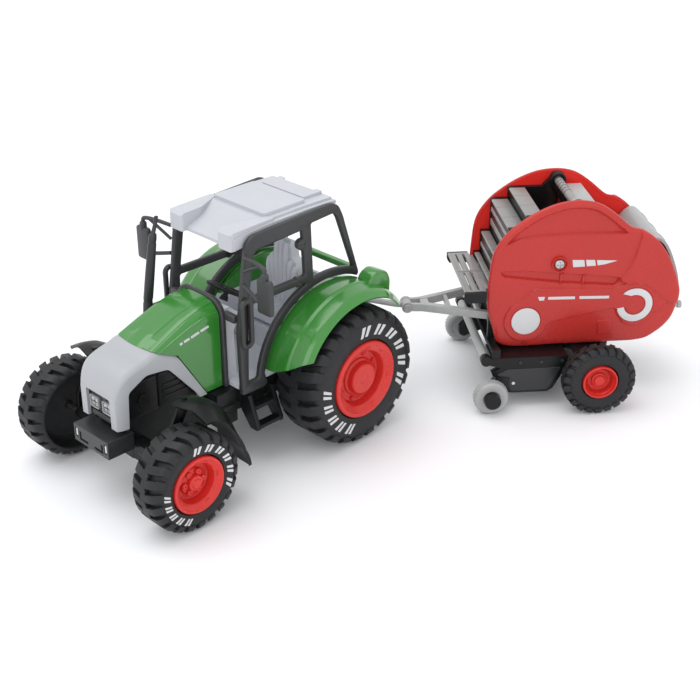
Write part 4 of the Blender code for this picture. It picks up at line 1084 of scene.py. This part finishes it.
SHELL = [(39.1, 25.4), (44.7, 35.2), (47.3, 46.2), (46.9, 61.1), (45.4, 70.4), (41.3, 77.4),
         (35.9, 82.6), (27.6, 88.0), (18.3, 91.6), (8.8, 92.4), (0.9, 90.7), (-6.3, 86.1),
         (-14.2, 79.6), (-19.9, 77.9), (-26.4, 73.0), (-32.3, 64.9), (-37.2, 54.0),
         (-38.7, 46.4), (-36.1, 35.0), (-27.8, 27.0), (-20.9, 25.0), (-10.7, 24.8), (14, 24.8)]
DISC, DISC_R = (30.0, 37.5), 6.4            # white disc near the front
CRESCENT, CRESCENT_R = (-18.6, 43.2), 8.0   # white open ring near the rear
SCREW, WELL_R = (16.8, 64.2), 3.1
RIM = 2.3                                   # width of the shell's rounded border

DOME = [(60, 79), (43.5, 70.0), (40.6, 73.6), (34, 76.0), (26.7, 77.2), (9.8, 77.8), (-5.9, 77.4),
        (-13, 77.1), (-17.2, 78.8), (-30, 90), (10, 110), (60, 105)]
BULGE = [(-17.6, 90), (-18.4, 75.4), (-16.1, 64.8), (-13.2, 59.3), (-10.5, 55.0), (-14.5, 53.6),
         (-22, 53.4), (-27.6, 49.3), (-33.4, 43.9), (-60, 38), (-60, 90)]
CHANNEL = [(42.6, 61.4), (33, 61.4), (14.3, 59.4), (-7.2, 57.0), (-11.2, 56.2), (-8.9, 52.9),
           (0.5, 53.9), (13.9, 55.2), (27.4, 57.0), (40.7, 59.0)]
RIBS = [[(15.8, 60), (14.6, 60), (14.9, 54.6), (16.1, 54.6)], [(5.8, 59), (4.6, 59), (4.9, 53.6),
                                                             (6.1, 53.6)]]
LINK = [(36.9, 44.9), (33.4, 47.0), (27.6, 52.4), (25.6, 53.2), (18.3, 52.9), (-8.7, 51.4),
        (-12.2, 53.0), (-16.5, 54.2), (-22, 53.4), (-27.6, 49.3), (-33.4, 43.9), (-28.1, 39.2),
        (-24, 34.9), (-19.7, 32.9), (-14.4, 34.4), (-11, 38.6), (-9.6, 42.3), (4.6, 39.7),
        (18.3, 36.8), (20.4, 35.4)] + arc(DISC, 9.7, 195, 398, 26)
BADGE = [(-2.6, 35.9), (-9.3, 36.3), (-9.9, 29.7), (-3.2, 29.3)]


def crescent(grow):
    """The outline of the open ring, whose upper end runs out to a point."""
    outer = arc(CRESCENT, CRESCENT_R + grow, 44, 350, 40)
    inner = arc(CRESCENT, 4.9 - grow, 350, 66, 34)
    return outer + inner


# (outline, height of its inside above its outside, width of the slope between them)
RELIEF = [(fillet(DOME, 1.5, 3), -1.5, 1.1), (fillet(BULGE, 1.5, 3), 1.05, 0.9),
          (fillet(CHANNEL, 1.0, 3), -1.4, 0.7), (RIBS[0], 0.8, 0.4), (RIBS[1], 0.8, 0.4),
          (fillet(LINK, 0.9, 3), 0.7, 0.5), (fillet(BADGE, 0.5, 3), 0.5, 0.4),
          (circle(DISC, DISC_R + 0.45, 40), -0.35, 0.3), (crescent(0.45), -0.3, 0.3),
          (circle(SCREW, WELL_R + 0.25, 28), -1.35, 0.3)]
FACE_LEVEL = -1.7                           # the plain face, below the shell's outermost plane


def distance(points, outline):
    """Distance of each point to a closed outline, positive inside."""
    p = np.asarray(points)[:, None, :]
    a = np.asarray(outline)[None, :, :]
    b = np.roll(np.asarray(outline), -1, axis=0)[None, :, :]
    along = b - a
    t = np.clip(((p - a) * along).sum(2) / np.maximum((along ** 2).sum(2), 1e-12), 0, 1)
    nearest = np.linalg.norm(p - a - along * t[..., None], axis=2).min(1)
    over = (a[..., 1] > p[..., 1]) != (b[..., 1] > p[..., 1])
    slope = along[..., 1] + (along[..., 1] == 0) * 1e-12
    crossing = a[..., 0] + (p[..., 1] - a[..., 1]) * along[..., 0] / slope
    inside = (over & (p[..., 0] < crossing)).sum(1) % 2 == 1
    return np.where(inside, nearest, -nearest)


def inset_loop(outline, depth):
    """The outline moved inwards, corner by corner."""
    points = np.asarray(outline)
    before, after = points - np.roll(points, 1, axis=0), np.roll(points, -1, axis=0) - points
    normal = sum(np.stack([-e[:, 1], e[:, 0]], 1) / np.linalg.norm(e, axis=1, keepdims=True)
                 for e in (before, after))
    normal /= np.maximum(np.linalg.norm(normal, axis=1, keepdims=True), 1e-9)
    area = (points[:, 0] * np.roll(points[:, 1], -1) - points[:, 1] * np.roll(points[:, 0], -1)).sum()
    return points + normal * depth * (1 if area > 0 else -1)


def shell_height(points, border):
    """Height of the shell's face over its outermost plane: relief, then the rounded border."""
    edge = distance(points, border)
    height = np.full(len(points), FACE_LEVEL)
    for outline, rise, slope in RELIEF:
        share = np.clip(distance(points, outline) / slope + 0.5, 0, 1)
        share = share * share * (3 - 2 * share)
        if outline is RELIEF[0][0]:        # the dome keeps a raised border
            share = share * np.clip((edge - RIM - 0.3) / 0.8, 0, 1)
        height += rise * share
    roll = np.clip(1 - edge / RIM, 0, 1)
    return height - (2.2 + FACE_LEVEL * 0.5) * (1 - np.sqrt(np.clip(1 - roll ** 2, 0, 1)))


def closed_edges(start, count):
    """Edges of a loop of `count` points, the first of which is point number `start`."""
    return [(start + i, start + (i + 1) % count) for i in range(count)]


def relief_net():
    """Points and triangles of the shell's face, and its border: rings along the border, four lines
    along every slope of the relief, and a loose net between them."""
    border = np.asarray(smooth(SHELL, 6))
    rings = [border] + [inset_loop(border, d) for d in (0.15, 0.4, 0.8, 1.3, 1.8, RIM, RIM + 0.3,
                                                       RIM + 0.8)]
    points, edges = list(map(tuple, border)), closed_edges(0, len(border))
    for ring in rings[1:]:
        points += [tuple(p) for p in ring]
    loops = []
    for outline, _, slope in RELIEF:
        loops += [inset_loop(outline, slope * share) for share in (-0.5, -0.25, 0.25, 0.5)]
    for loop in loops:
        count = len(loop)
        finer = [loop[i] + (loop[(i + 1) % count] - loop[i]) * k / n
                 for i in range(count)
                 for n in (max(1, int(np.linalg.norm(loop[(i + 1) % count] - loop[i]) / 0.9)),)
                 for k in range(n)]
        inside = distance(finer, border) > 0.05
        start = len(points)
        points += [tuple(p) for p in finer]
        edges += [(a, b) for a, b in closed_edges(start, len(finer))
                  if inside[a - start] and inside[b - start]]
    low, high = border.min(0), border.max(0)
    net = [(x + 0.55 * (row % 2), z) for row, z in enumerate(np.arange(low[1], high[1], 1.0))
           for x in np.arange(low[0], high[0], 1.1)]
    net = np.asarray(net)
    net = net[distance(net, border) > RIM + 1.0]
    taken = np.asarray(points)
    free = [np.min(np.linalg.norm(taken - p, axis=1)) > 0.45 for p in net]
    points += [tuple(p) for p in net[free]]
    kept = distance(points, border) > -0.01
    order = {old: new for new, old in enumerate(np.flatnonzero(kept))}
    points = [Vector(p) for p, k in zip(points, kept) if k]
    edges = [(order[a], order[b]) for a, b in edges if a in order and b in order]
    made = geometry.delaunay_2d_cdt(points, edges, [], 0, 0.02)
    flat = np.asarray([tuple(p) for p in made[0]])
    centres = np.asarray([flat[list(f)].mean(0) for f in made[2]])
    inside = distance(centres, border) > 0
    return flat, [f for f, ok in zip(made[2], inside) if ok], border


def side_shell(word, side, net):
    """One moulded side: the relief face, a rolled border, and a flat back with a low lip."""
    cad = f"side_shell_{word}"
    inner, outer = depths(*span(cad, BALER))
    flat, faces, border = net
    heights = outer + shell_height(flat, border)
    bm = bmesh.new()
    front = [bm.verts.new((x, side * y, z)) for (x, z), y in zip(flat, heights)]
    for face in faces:
        bm.faces.new([front[i] for i in face])
    for vert in front:
        if not vert.link_faces:
            bm.verts.remove(vert)
    rim = [e for e in bm.edges if len(e.link_faces) == 1]
    for inset, y in ((0.0, inner + 0.35), (0.35, inner), (1.05, inner), (0.1, inner + 0.1)):
        made = bmesh.ops.extrude_edge_only(bm, edges=rim)["geom"]
        rim = [g for g in made if isinstance(g, bmesh.types.BMEdge) and len(g.link_faces) == 1]
        ring = list(dict.fromkeys(v for e in rim for v in e.verts))
        for vert, move in rim_moves(ring, inset).items():
            vert.co = (vert.co.x + move[0], side * y, vert.co.z + move[1])
    bmesh.ops.contextual_create(bm, geom=rim)
    bmesh.ops.recalc_face_normals(bm, faces=bm.faces)
    for face in bm.faces:                  # the side that looks inwards gets a brighter red, painted light against the shade that falls on it
        face.material_index = int(face.normal.y * side < -0.8)
    shell = piece(f"shell_{word}", bm, RED, *ON_BALER, "red_gloss", cad, crease=38)
    shell.data.materials.append(INNER_RED_PAINTED_LIGHT)


def rim_moves(ring, depth):
    """How far each vertex of a rim moves towards the inside of the loop."""
    inward = {}
    middle_point = sum((v.co for v in ring), Vector()) / len(ring)
    for vert in ring:
        normal = Vector((0, 0))
        for edge in (e for e in vert.link_edges if len(e.link_faces) == 1):
            way = edge.other_vert(vert).co - vert.co
            across = Vector((-way.z, way.x)).normalized()
            to_middle = Vector((middle_point.x - vert.co.x, middle_point.z - vert.co.z))
            normal += across if across.dot(to_middle) > 0 else -across
        inward[vert] = normal.normalized() * depth
    return inward


def shell_prints(word, side):
    """Plain printed shapes on the shell: disc, open ring, a pennant and two pinstripes."""
    outer = max(abs(v.y) for v in span(f"side_shell_{word}", BALER))
    level = outer + FACE_LEVEL
    raised = level + 0.72
    disc = lathe([(0, -0.6), (DISC_R, -0.6), (DISC_R, 0.03), (DISC_R - 0.6, 0.12), (0, 0.18)], 0.2, 56,
                 (DISC[0], side * raised, DISC[1]), (0, side, 0))
    ring = pierced(crescent(0.0), [], side * level, side * (raised + 0.2), 0.12)
    pennant = [prism(fillet(p, 0.2, 2), side * (level - 0.4), side * (level + 0.05)) for p in (
        [(10.6, 62.4), (11.2, 65.8), (6.0, 65.6), (5.4, 62.5)],
        [(4.6, 62.6), (5.2, 65.6), (1.2, 65.4), (0.6, 62.7)],
        [(-0.2, 62.8), (0.4, 65.3), (-8.8, 64.7), (-3.4, 63.2)])]
    stripes = [prism(fillet(p, 0.2, 2), side * level, side * (raised + 0.05)) for p in (
        [(24.6, 47.4), (25.4, 49.2), (22.2, 49.1), (22.6, 47.4)],
        [(20.8, 47.7), (20.8, 49.0), (8.8, 48.7), (8.8, 47.4)],
        [(6.8, 47.4), (6.8, 48.7), (-6.6, 48.3), (-6.6, 47.0)])]
    piece(f"shell_prints_{word}", merged(disc, ring, *pennant, *stripes), PRINT, *ON_BALER,
          "red_gloss")


def shell_screw(word, side):
    """A pan head with a cross recess, in a dark moulded cup."""
    cad = f"shell_screw_{word}"
    low, high = span(cad, BALER)
    x, z = SCREW
    radius = (high.z - low.z) / 2
    base, _ = depths(low, high)
    profile = [(0, 0), (radius, 0), (radius, 0.35), (radius * 0.75, 0.9), (radius * 0.4, 1.08), (0, 1.1)]
    head = lathe(profile, 0.15, 36, (x, side * base, z), (0, side, 0), 3)
    reach, half = radius * 0.62, radius * 0.13
    near, far = side * (base + 0.45), side * (base + 2)
    cross = fuse(block((x - reach, near, z - half), (x + reach, far, z + half)),
                 block((x - half, near, z - reach), (x + half, far, z + reach)))
    piece(f"shell_screw_head_{word}", cut(head, cross), STEEL, *ON_BALER, "steel", cad, crease=30)
    cup = turned([(WELL_R - 0.25, -0.1), (WELL_R + 0.15, 1.25), (WELL_R + 0.35, 1.25),
                  (WELL_R + 0.35, -0.3), (radius + 0.1, -0.3), (radius + 0.1, -0.1)], 36,
                 (x, side * base, z), (0, side, 0))
    piece(f"shell_cup_{word}", cup, HUB_RED, *ON_BALER, "red_gloss")


# ---------------------------------------------------------------- baler: chamber

STAIR = [(24.5, 85.2), (31.8, 85.2), (31.8, 80.0), (39.4, 80.0), (39.4, 64.8), (43.4, 64.8),
         (43.4, 54.4), (46.0, 54.4), (46.0, 42.0)]


def slats():
    """Stepped front of the chamber: risers in black, painted shade for the dark that falls on the steps'
    upright faces, and light treads, each in three lengths.
    """
    half = span("slat_panel", BALER)[1].y
    wall = 1.4
    back = [(x - wall, z - wall) for x, z in STAIR[:-1]] + [(STAIR[-1][0] - wall, STAIR[-1][1])]
    back[0] = (STAIR[0][0], STAIR[0][1] - wall)
    core = [(x - 0.35, z - 0.35) for x, z in STAIR]
    # the risers are black: painted shade on the upright faces of the steps
    piece("slat_risers_painted_shade", prism(core + back[::-1], -half, half), BLACK, *ON_BALER, "silver",
          "slat_panel", bevel=0.15, segments=2)
    treads = []
    seams = (-half, -half / 3 - 1.2, half / 3 - 0.6, half)
    for x0, x1, z in ((24.5, 31.8, 85.2), (31.9, 39.4, 80.0), (39.5, 43.4, 64.8), (43.5, 46.0, 54.4)):
        for a, b in zip(seams, seams[1:]):
            outline = fillet([(x0 + 0.05, z - 0.9), (x1, z - 0.9), (x1, z - 0.25), (x1 - 0.3, z),
                              (x0 + 0.05, z)], 0.2, 2)
            treads.append(prism(outline, a + 0.12, b - 0.12))
    for x, z0, z1 in ((39.4, 68.2, 71.0), (39.4, 74.4, 76.4), (43.4, 57.8, 59.8), (46.0, 45.2, 47.6)):
        for a, b in zip(seams, seams[1:]):
            treads.append(prism(fillet(rect(x - 0.6, z0, x, z1), 0.15, 2), a + 0.12, b - 0.12))
    piece("slat_treads", merged(*treads), SILVER, *ON_BALER, "silver", bevel=0.1, segments=2)


def windguard():
    """The slotted plate over the pickup, with its front rod and ends in black, painted shade for the
    shadow on its end faces.
    """
    _, high = span("windguard", BALER)
    half, z = high.y, high.z
    plate = pierced(fillet([(46.3, -18.6), (47.9, -18.6), (47.9, -21.6), (57.3, -21.6), (57.3, 21.6),
                            (47.9, 21.6), (47.9, 18.6), (46.3, 18.6)], 0.3),
                    [fillet(rect(x0, y, x1, y + 18.6), rounding) for x0, x1, rounding in
                     ((50.2, 51.3, 0.4), (53.8, 54.5, 0.3)) for y in (-19.6, 1.0)],
                    z - 1.5, z, 0.25, "Z")
    ribs = [block((47.2, -0.3, z - 0.4), (57.2, 0.1, z + 0.18)),
            rod((56.9, -21.4, z - 0.55), (56.9, 21.4, z - 0.55), 0.72)]
    piece("windguard_plate", merged(plate, *ribs), SILVER, *ON_BALER, "silver", "windguard",
          bevel=0.12, segments=2)
    # the end plates are black: painted shade for the shadow that falls on the windguard's ends
    ends = [pierced(fillet([(48.0, 47.4), (56.6, 47.4), (57.8, 49.4), (57.8, 52.5), (48.0, 52.5)], 0.6),
                    [], s * 21.0, s * half, 0.4) for s in (1, -1)]
    piece("windguard_ends_painted_shade", merged(*ends), BLACK, *ON_BALER, "silver")


def top_rod():
    """The rod across the top of the chamber, which the tailgate hangs on, with printed bands."""
    foot, radius, length = barrel("top_rod", BALER)
    profile = [(0, 0), (radius - 0.25, 0), (radius, 0.25), (radius, length - 0.25),
               (radius - 0.25, length), (0, length)]
    bar = turned(profile, 32, foot, closed=False)
    piece("top_rod_bar", bar, SILVER, *ON_BALER, "light_grey", "top_rod")
    bands = [turned(fillet([(radius - 0.3, -0.25), (radius + 0.08, -0.25), (radius + 0.08, 0.25),
                            (radius - 0.3, 0.25)], 0.08), 32, (foot.x, y, foot.z))
             for y in np.linspace(-14.6, 1.0, 6)]
    piece("top_rod_bands", merged(*bands), DARK, *ON_BALER, "light_grey")


TAIL = [(-21.5, 68.2), (-24.5, 71.8), (-27.6, 72.6), (-31.2, 69.4), (-34.6, 62.6), (-37.6, 54),
        (-38.6, 46.4), (-36.8, 36), (-31, 28.6), (-22, 25.9)]


def tailgate():
    """The curved rear door with stiffening ribs, its two arms, hinge strip and pull knob."""
    path = smooth(TAIL, 6, closed=False)

    def surface(u, v):
        k = min(int(u * (len(path) - 1)), len(path) - 2)
        t = u * (len(path) - 1) - k
        x, z = (path[k][i] * (1 - t) + path[k + 1][i] * t for i in (0, 1))
        return (x, 19.2 * (2 * v - 1), z)
    skin = thickened(surface, len(path) - 1, 8, 1.4)
    arms = []
    for side in (1, -1):
        eye = arc((9.5, 88.2), 3.6, -20, 200, 20)
        arm = eye + fillet([(3.2, 78), (2.0, 73.0), (-8, 66.5), (-33.4, 62.5), (-36.2, 56.5), (-8, 60.5),
                            (6.5, 68), (9.0, 78)], 1.4)
        arms.append(pierced(arm, [circle((9.5, 88.2), 2.3, 24)], side * 15.3, side * 16.7, 0.3))
    strip = pierced(rect(-1, -16, 7.2, 16), [], 85.2, 86.6, 0.3, "Z")
    knob = lathe([(0, 0), (1.2, 0), (1.2, 3.2), (1.75, 3.6), (1.75, 5.2), (1.2, 5.4), (0, 5.4)], 0.25,
                 24, (-37, 16, 39.4), (-1, 0, 0))
    ribs = [thickened(lambda u, v, y=y: (Vector(surface(0.1 + 0.84 * u, (y + 19.2 + v * 1.2) / 38.4))
                                         + Vector((-0.75, 0, 0.05))), 40, 1, 0.9)
            for y in (-13.2, -0.6, 12.0)]
    piece("tailgate_door", merged(skin, strip, knob, *ribs), GREY, BALER, "tailgate",
          "light_grey", "tailgate", bevel=0.2, segments=2, crease=50)
    for (word, _), arm, mat in zip(SIDES, arms, (GREY, BLACK)):
        piece(f"tailgate_arm_{word}", arm, mat, BALER, "tailgate", "light_grey", bevel=0.2,
              segments=2, crease=50)


# ---------------------------------------------------------------- baler: pickup, drawbar, wheels

def pickup():
    """The frame under the shells with its cheeks, the roller with the roots of its tines, guides."""
    refined("pickup_frame", BLACK, "black", bevel=0.3)
    marks = [turned([(0, -0.4), (0.75, -0.4), (0.75, 0.04), (0, 0.04)], 20, (36, side * 32.0, 11.9),
                    (0, side, 0), closed=False) for side in (1, -1)]
    piece("pickup_marks", merged(*marks), PRINT, *ON_BALER, "black")
    cheek = fillet([(38.6, 18.9), (15.0, 18.9), (19.4, 9.2), (21.0, 8.0), (36.8, 8.0), (40.2, 13.4),
                    (43.6, 16.4)], 0.8)
    plates = []
    for side in (1, -1):
        plates.append(pierced(cheek, [], side * 31.2, side * 32.0, 0.25))
        plates += [rod((x, side * 31.4, 22.0), (x, side * 32.1, 22.0), 0.7, 16)
                   for x in (14.6, 24, 33.4)]
    piece("pickup_cheeks", merged(*plates), DARK, *ON_BALER, "black", bevel=0.15, segments=2)
    foot, radius, length = barrel("pickup_roller", BALER)
    roller = turned([(0, 0), (radius, 0), (radius, length), (0, length)], 28, foot, closed=False)
    tines = []
    for k in range(15):
        start = Vector((foot.x, foot.y + 2.4 + k * (length - 4.8) / 14, foot.z))
        for turn in (0, 120, 240):
            a = radians(turn + 25 * (k % 2))
            way = Vector((cos(a), 0, sin(a)))
            tines.append(rod(start + way * (radius - 0.9), start + way * (radius - 0.02), 0.45, 8))
    piece("pickup_roller_bar", merged(roller, *tines), GREY, *ON_BALER, "light_grey",
          "pickup_roller", bevel=0.15, segments=2)
    guides = [pierced(fillet(rect(40.4, y, 41.2, y + 3.0), 0.2), [], 25.0, 40.0, 0.1, "Z")
              for y in (-12.6, -4.6, 2.4, 10.4)]
    piece("crop_guides", merged(*guides), SILVER, *ON_BALER, "black")


GAUGE_RIBS = 30                                        # fine ribs across a gauge wheel's tread


def gauge_wheel(word, side):
    """A small grey wheel with a ribbed tread and a dark dish in its face."""
    cad = f"gauge_wheel_{word}"
    low, high = span(cad, BALER)
    centre = (low + high) / 2
    radius = (high.z - low.z) / 2
    inner, outer = depths(low, high)
    width = outer - inner
    profile = [(radius - 0.9, 0), (radius - 0.25, 0.8), (radius - 0.25, width - 0.9),
               (radius - 0.8, width), (radius * 0.47, width), (radius * 0.43, width - 0.7),
               (1.65, width - 0.7), (1.65, 0.4), (radius * 0.6, 0.4), (radius * 0.68, 0)]
    foot = (centre.x, side * inner, centre.z)
    disc = turned(fillet(profile, 0.35, 3), 48, foot, (0, side, 0))
    ribs = [block((-0.22, -width / 2 + 0.9, radius - 0.5), (0.22, width / 2 - 0.9, radius - 0.02))
            for _ in range(GAUGE_RIBS)]
    for k, rib in enumerate(ribs):
        rib.transform(Matrix.Translation(centre) @ Matrix.Rotation(2 * pi * k / GAUGE_RIBS, 4, "Y"))
    piece(f"gauge_disc_{word}", disc, GREY, BALER, cad, "light_grey", cad)
    piece(f"gauge_ribs_{word}", merged(*ribs), GREY, BALER, cad, "light_grey", bevel=0.1, segments=2)
    dish = turned(fillet([(1.6, width - 1.0), (1.6, width - 0.6), (radius * 0.44, width - 0.6),
                          (radius * 0.44, width - 1.0)], 0.1), 40, foot, (0, side, 0))
    piece(f"gauge_dish_{word}", dish, DARK, BALER, cad, "light_grey")


def baler_frame():
    """Frames, drawbar and tow bar as the CAD has them, with rounded edges, and the clevis bolt."""
    refined("lower_frame", BLACK, "black", bevel=0.4)
    for word, _ in SIDES:
        refined(f"chamber_frame_{word}", BLACK, "black", bevel=0.25)
    refined("drawbar", GREY, "light_grey", bevel=0.3)
    refined("tow_bar", GREY, "light_grey", bevel=0.3)
    foot, radius, length = barrel("clevis_pin", BALER)
    profile = [(0, 0), (radius - 0.3, 0.1), (radius, 0.4), (radius, 0.8), (1.05, 0.8),
               (1.05, length - 0.8), (radius, length - 0.8), (radius, length - 0.4),
               (radius - 0.3, length - 0.1), (0.7, length - 0.1), (0.6, length - 0.35),
               (0, length - 0.35)]
    piece("clevis_bolt", lathe(profile, 0.12, 28, foot, (0, 1, 0), 2), GREY, *ON_BALER,
          "light_grey", "clevis_pin")


def baler_body():
    net = relief_net()
    for word, side in SIDES:
        side_shell(word, side, net)
        shell_prints(word, side)
        shell_screw(word, side)
        gauge_wheel(word, side)
    slats()
    windguard()
    top_rod()
    tailgate()
    pickup()
    baler_frame()


# ---------------------------------------------------------------- floor, light and camera

FLOOR_HALF = 6.0                           # half the floor's side, in metres


def stage():
    """A pale, slightly cloudy floor that runs far out of the picture."""
    floor_mat = bpy.data.materials.new("studio_floor")
    floor_mat.use_nodes = True
    tree = floor_mat.node_tree
    shader = tree.nodes["Principled BSDF"]
    where = node(tree, "ShaderNodeTexCoord").outputs["Object"]
    link(tree, blend_colour(tree, noise(tree, where, 300, 2), (0.86, 0.865, 0.89), (0.88, 0.885, 0.91)),
         shader.inputs["Base Color"])
    shader.inputs["Roughness"].default_value = 0.6
    bm = bmesh.new()
    bmesh.ops.create_grid(bm, x_segments=8, y_segments=8, size=FLOOR_HALF)
    mesh = bpy.data.meshes.new("floor")
    bm.to_mesh(mesh)
    bm.free()
    mesh.materials.append(floor_mat)
    floor = bpy.data.objects.new("floor", mesh)
    bpy.context.scene.collection.objects.link(floor)


SOFTBOX_SIZE = (0.5, 0.4)                  # metres
CEILING_STRENGTH, CEILING_ANGLE = 1.05, 50  # the angle makes its shadows soft
CEILING_TILT = (16, 10, 0)                 # degrees


def softbox(name, location, target, power):
    """A rectangular lamp in the world frame, in metres and watts."""
    light = bpy.data.lights.new(name, "AREA")
    light.shape = "RECTANGLE"
    light.size, light.size_y = SOFTBOX_SIZE
    light.energy = power
    obj = bpy.data.objects.new(name, light)
    bpy.context.scene.collection.objects.link(obj)
    obj.location = location
    obj.rotation_euler = (Vector(target) - Vector(location)).to_track_quat("-Z", "Y").to_euler()


def lighting():
    """A white studio: an even world, a soft light from above and two weak lamps."""
    world = bpy.data.worlds.new("studio")
    bpy.context.scene.world = world
    bpy.context.scene.view_settings.view_transform = "Standard"
    world.use_nodes = True
    backdrop = world.node_tree.nodes["Background"]
    backdrop.inputs["Color"].default_value = (1.0, 1.0, 1.0, 1)
    backdrop.inputs["Strength"].default_value = 1.0
    ceiling = bpy.data.lights.new("ceiling", "SUN")
    ceiling.energy = CEILING_STRENGTH
    ceiling.angle = radians(CEILING_ANGLE)
    above = bpy.data.objects.new("ceiling", ceiling)
    bpy.context.scene.collection.objects.link(above)
    above.rotation_euler = [radians(a) for a in CEILING_TILT]
    softbox("front_left", (0.75, 0.30, 0.45), (0.02, 0, 0.04), 0.9)
    softbox("baler_side", (0.10, 0.80, 0.35), (0, 0, 0.04), 0.4)


CAMERA_AT = (327.6, 360.4, 283.4)          # in the tractor's drawing frame
CAMERA_LOOKS_AT = (-12.2, 24.8, 31.4)
CAMERA_ROLL = 0.12                         # degrees
LENS_LENGTH = 64.45


def camera():
    """The camera that the photo was taken with, as far as the model's fit tells."""
    data = bpy.data.cameras.new("camera")
    data.lens = LENS_LENGTH
    data.sensor_width = 36
    data.clip_start, data.clip_end = 0.01, 20
    obj = bpy.data.objects.new("camera", data)
    bpy.context.scene.collection.objects.link(obj)
    at, target = (TRACTOR @ (Vector(p) * MM) for p in (CAMERA_AT, CAMERA_LOOKS_AT))
    turn = (target - at).to_track_quat("-Z", "Y").to_matrix().to_4x4()
    obj.matrix_world = Matrix.Translation(at) @ turn @ Matrix.Rotation(radians(CAMERA_ROLL), 4, "Z")
    bpy.context.scene.camera = obj


wheels()
tractor_body()
baler_body()
stage()
lighting()
camera()
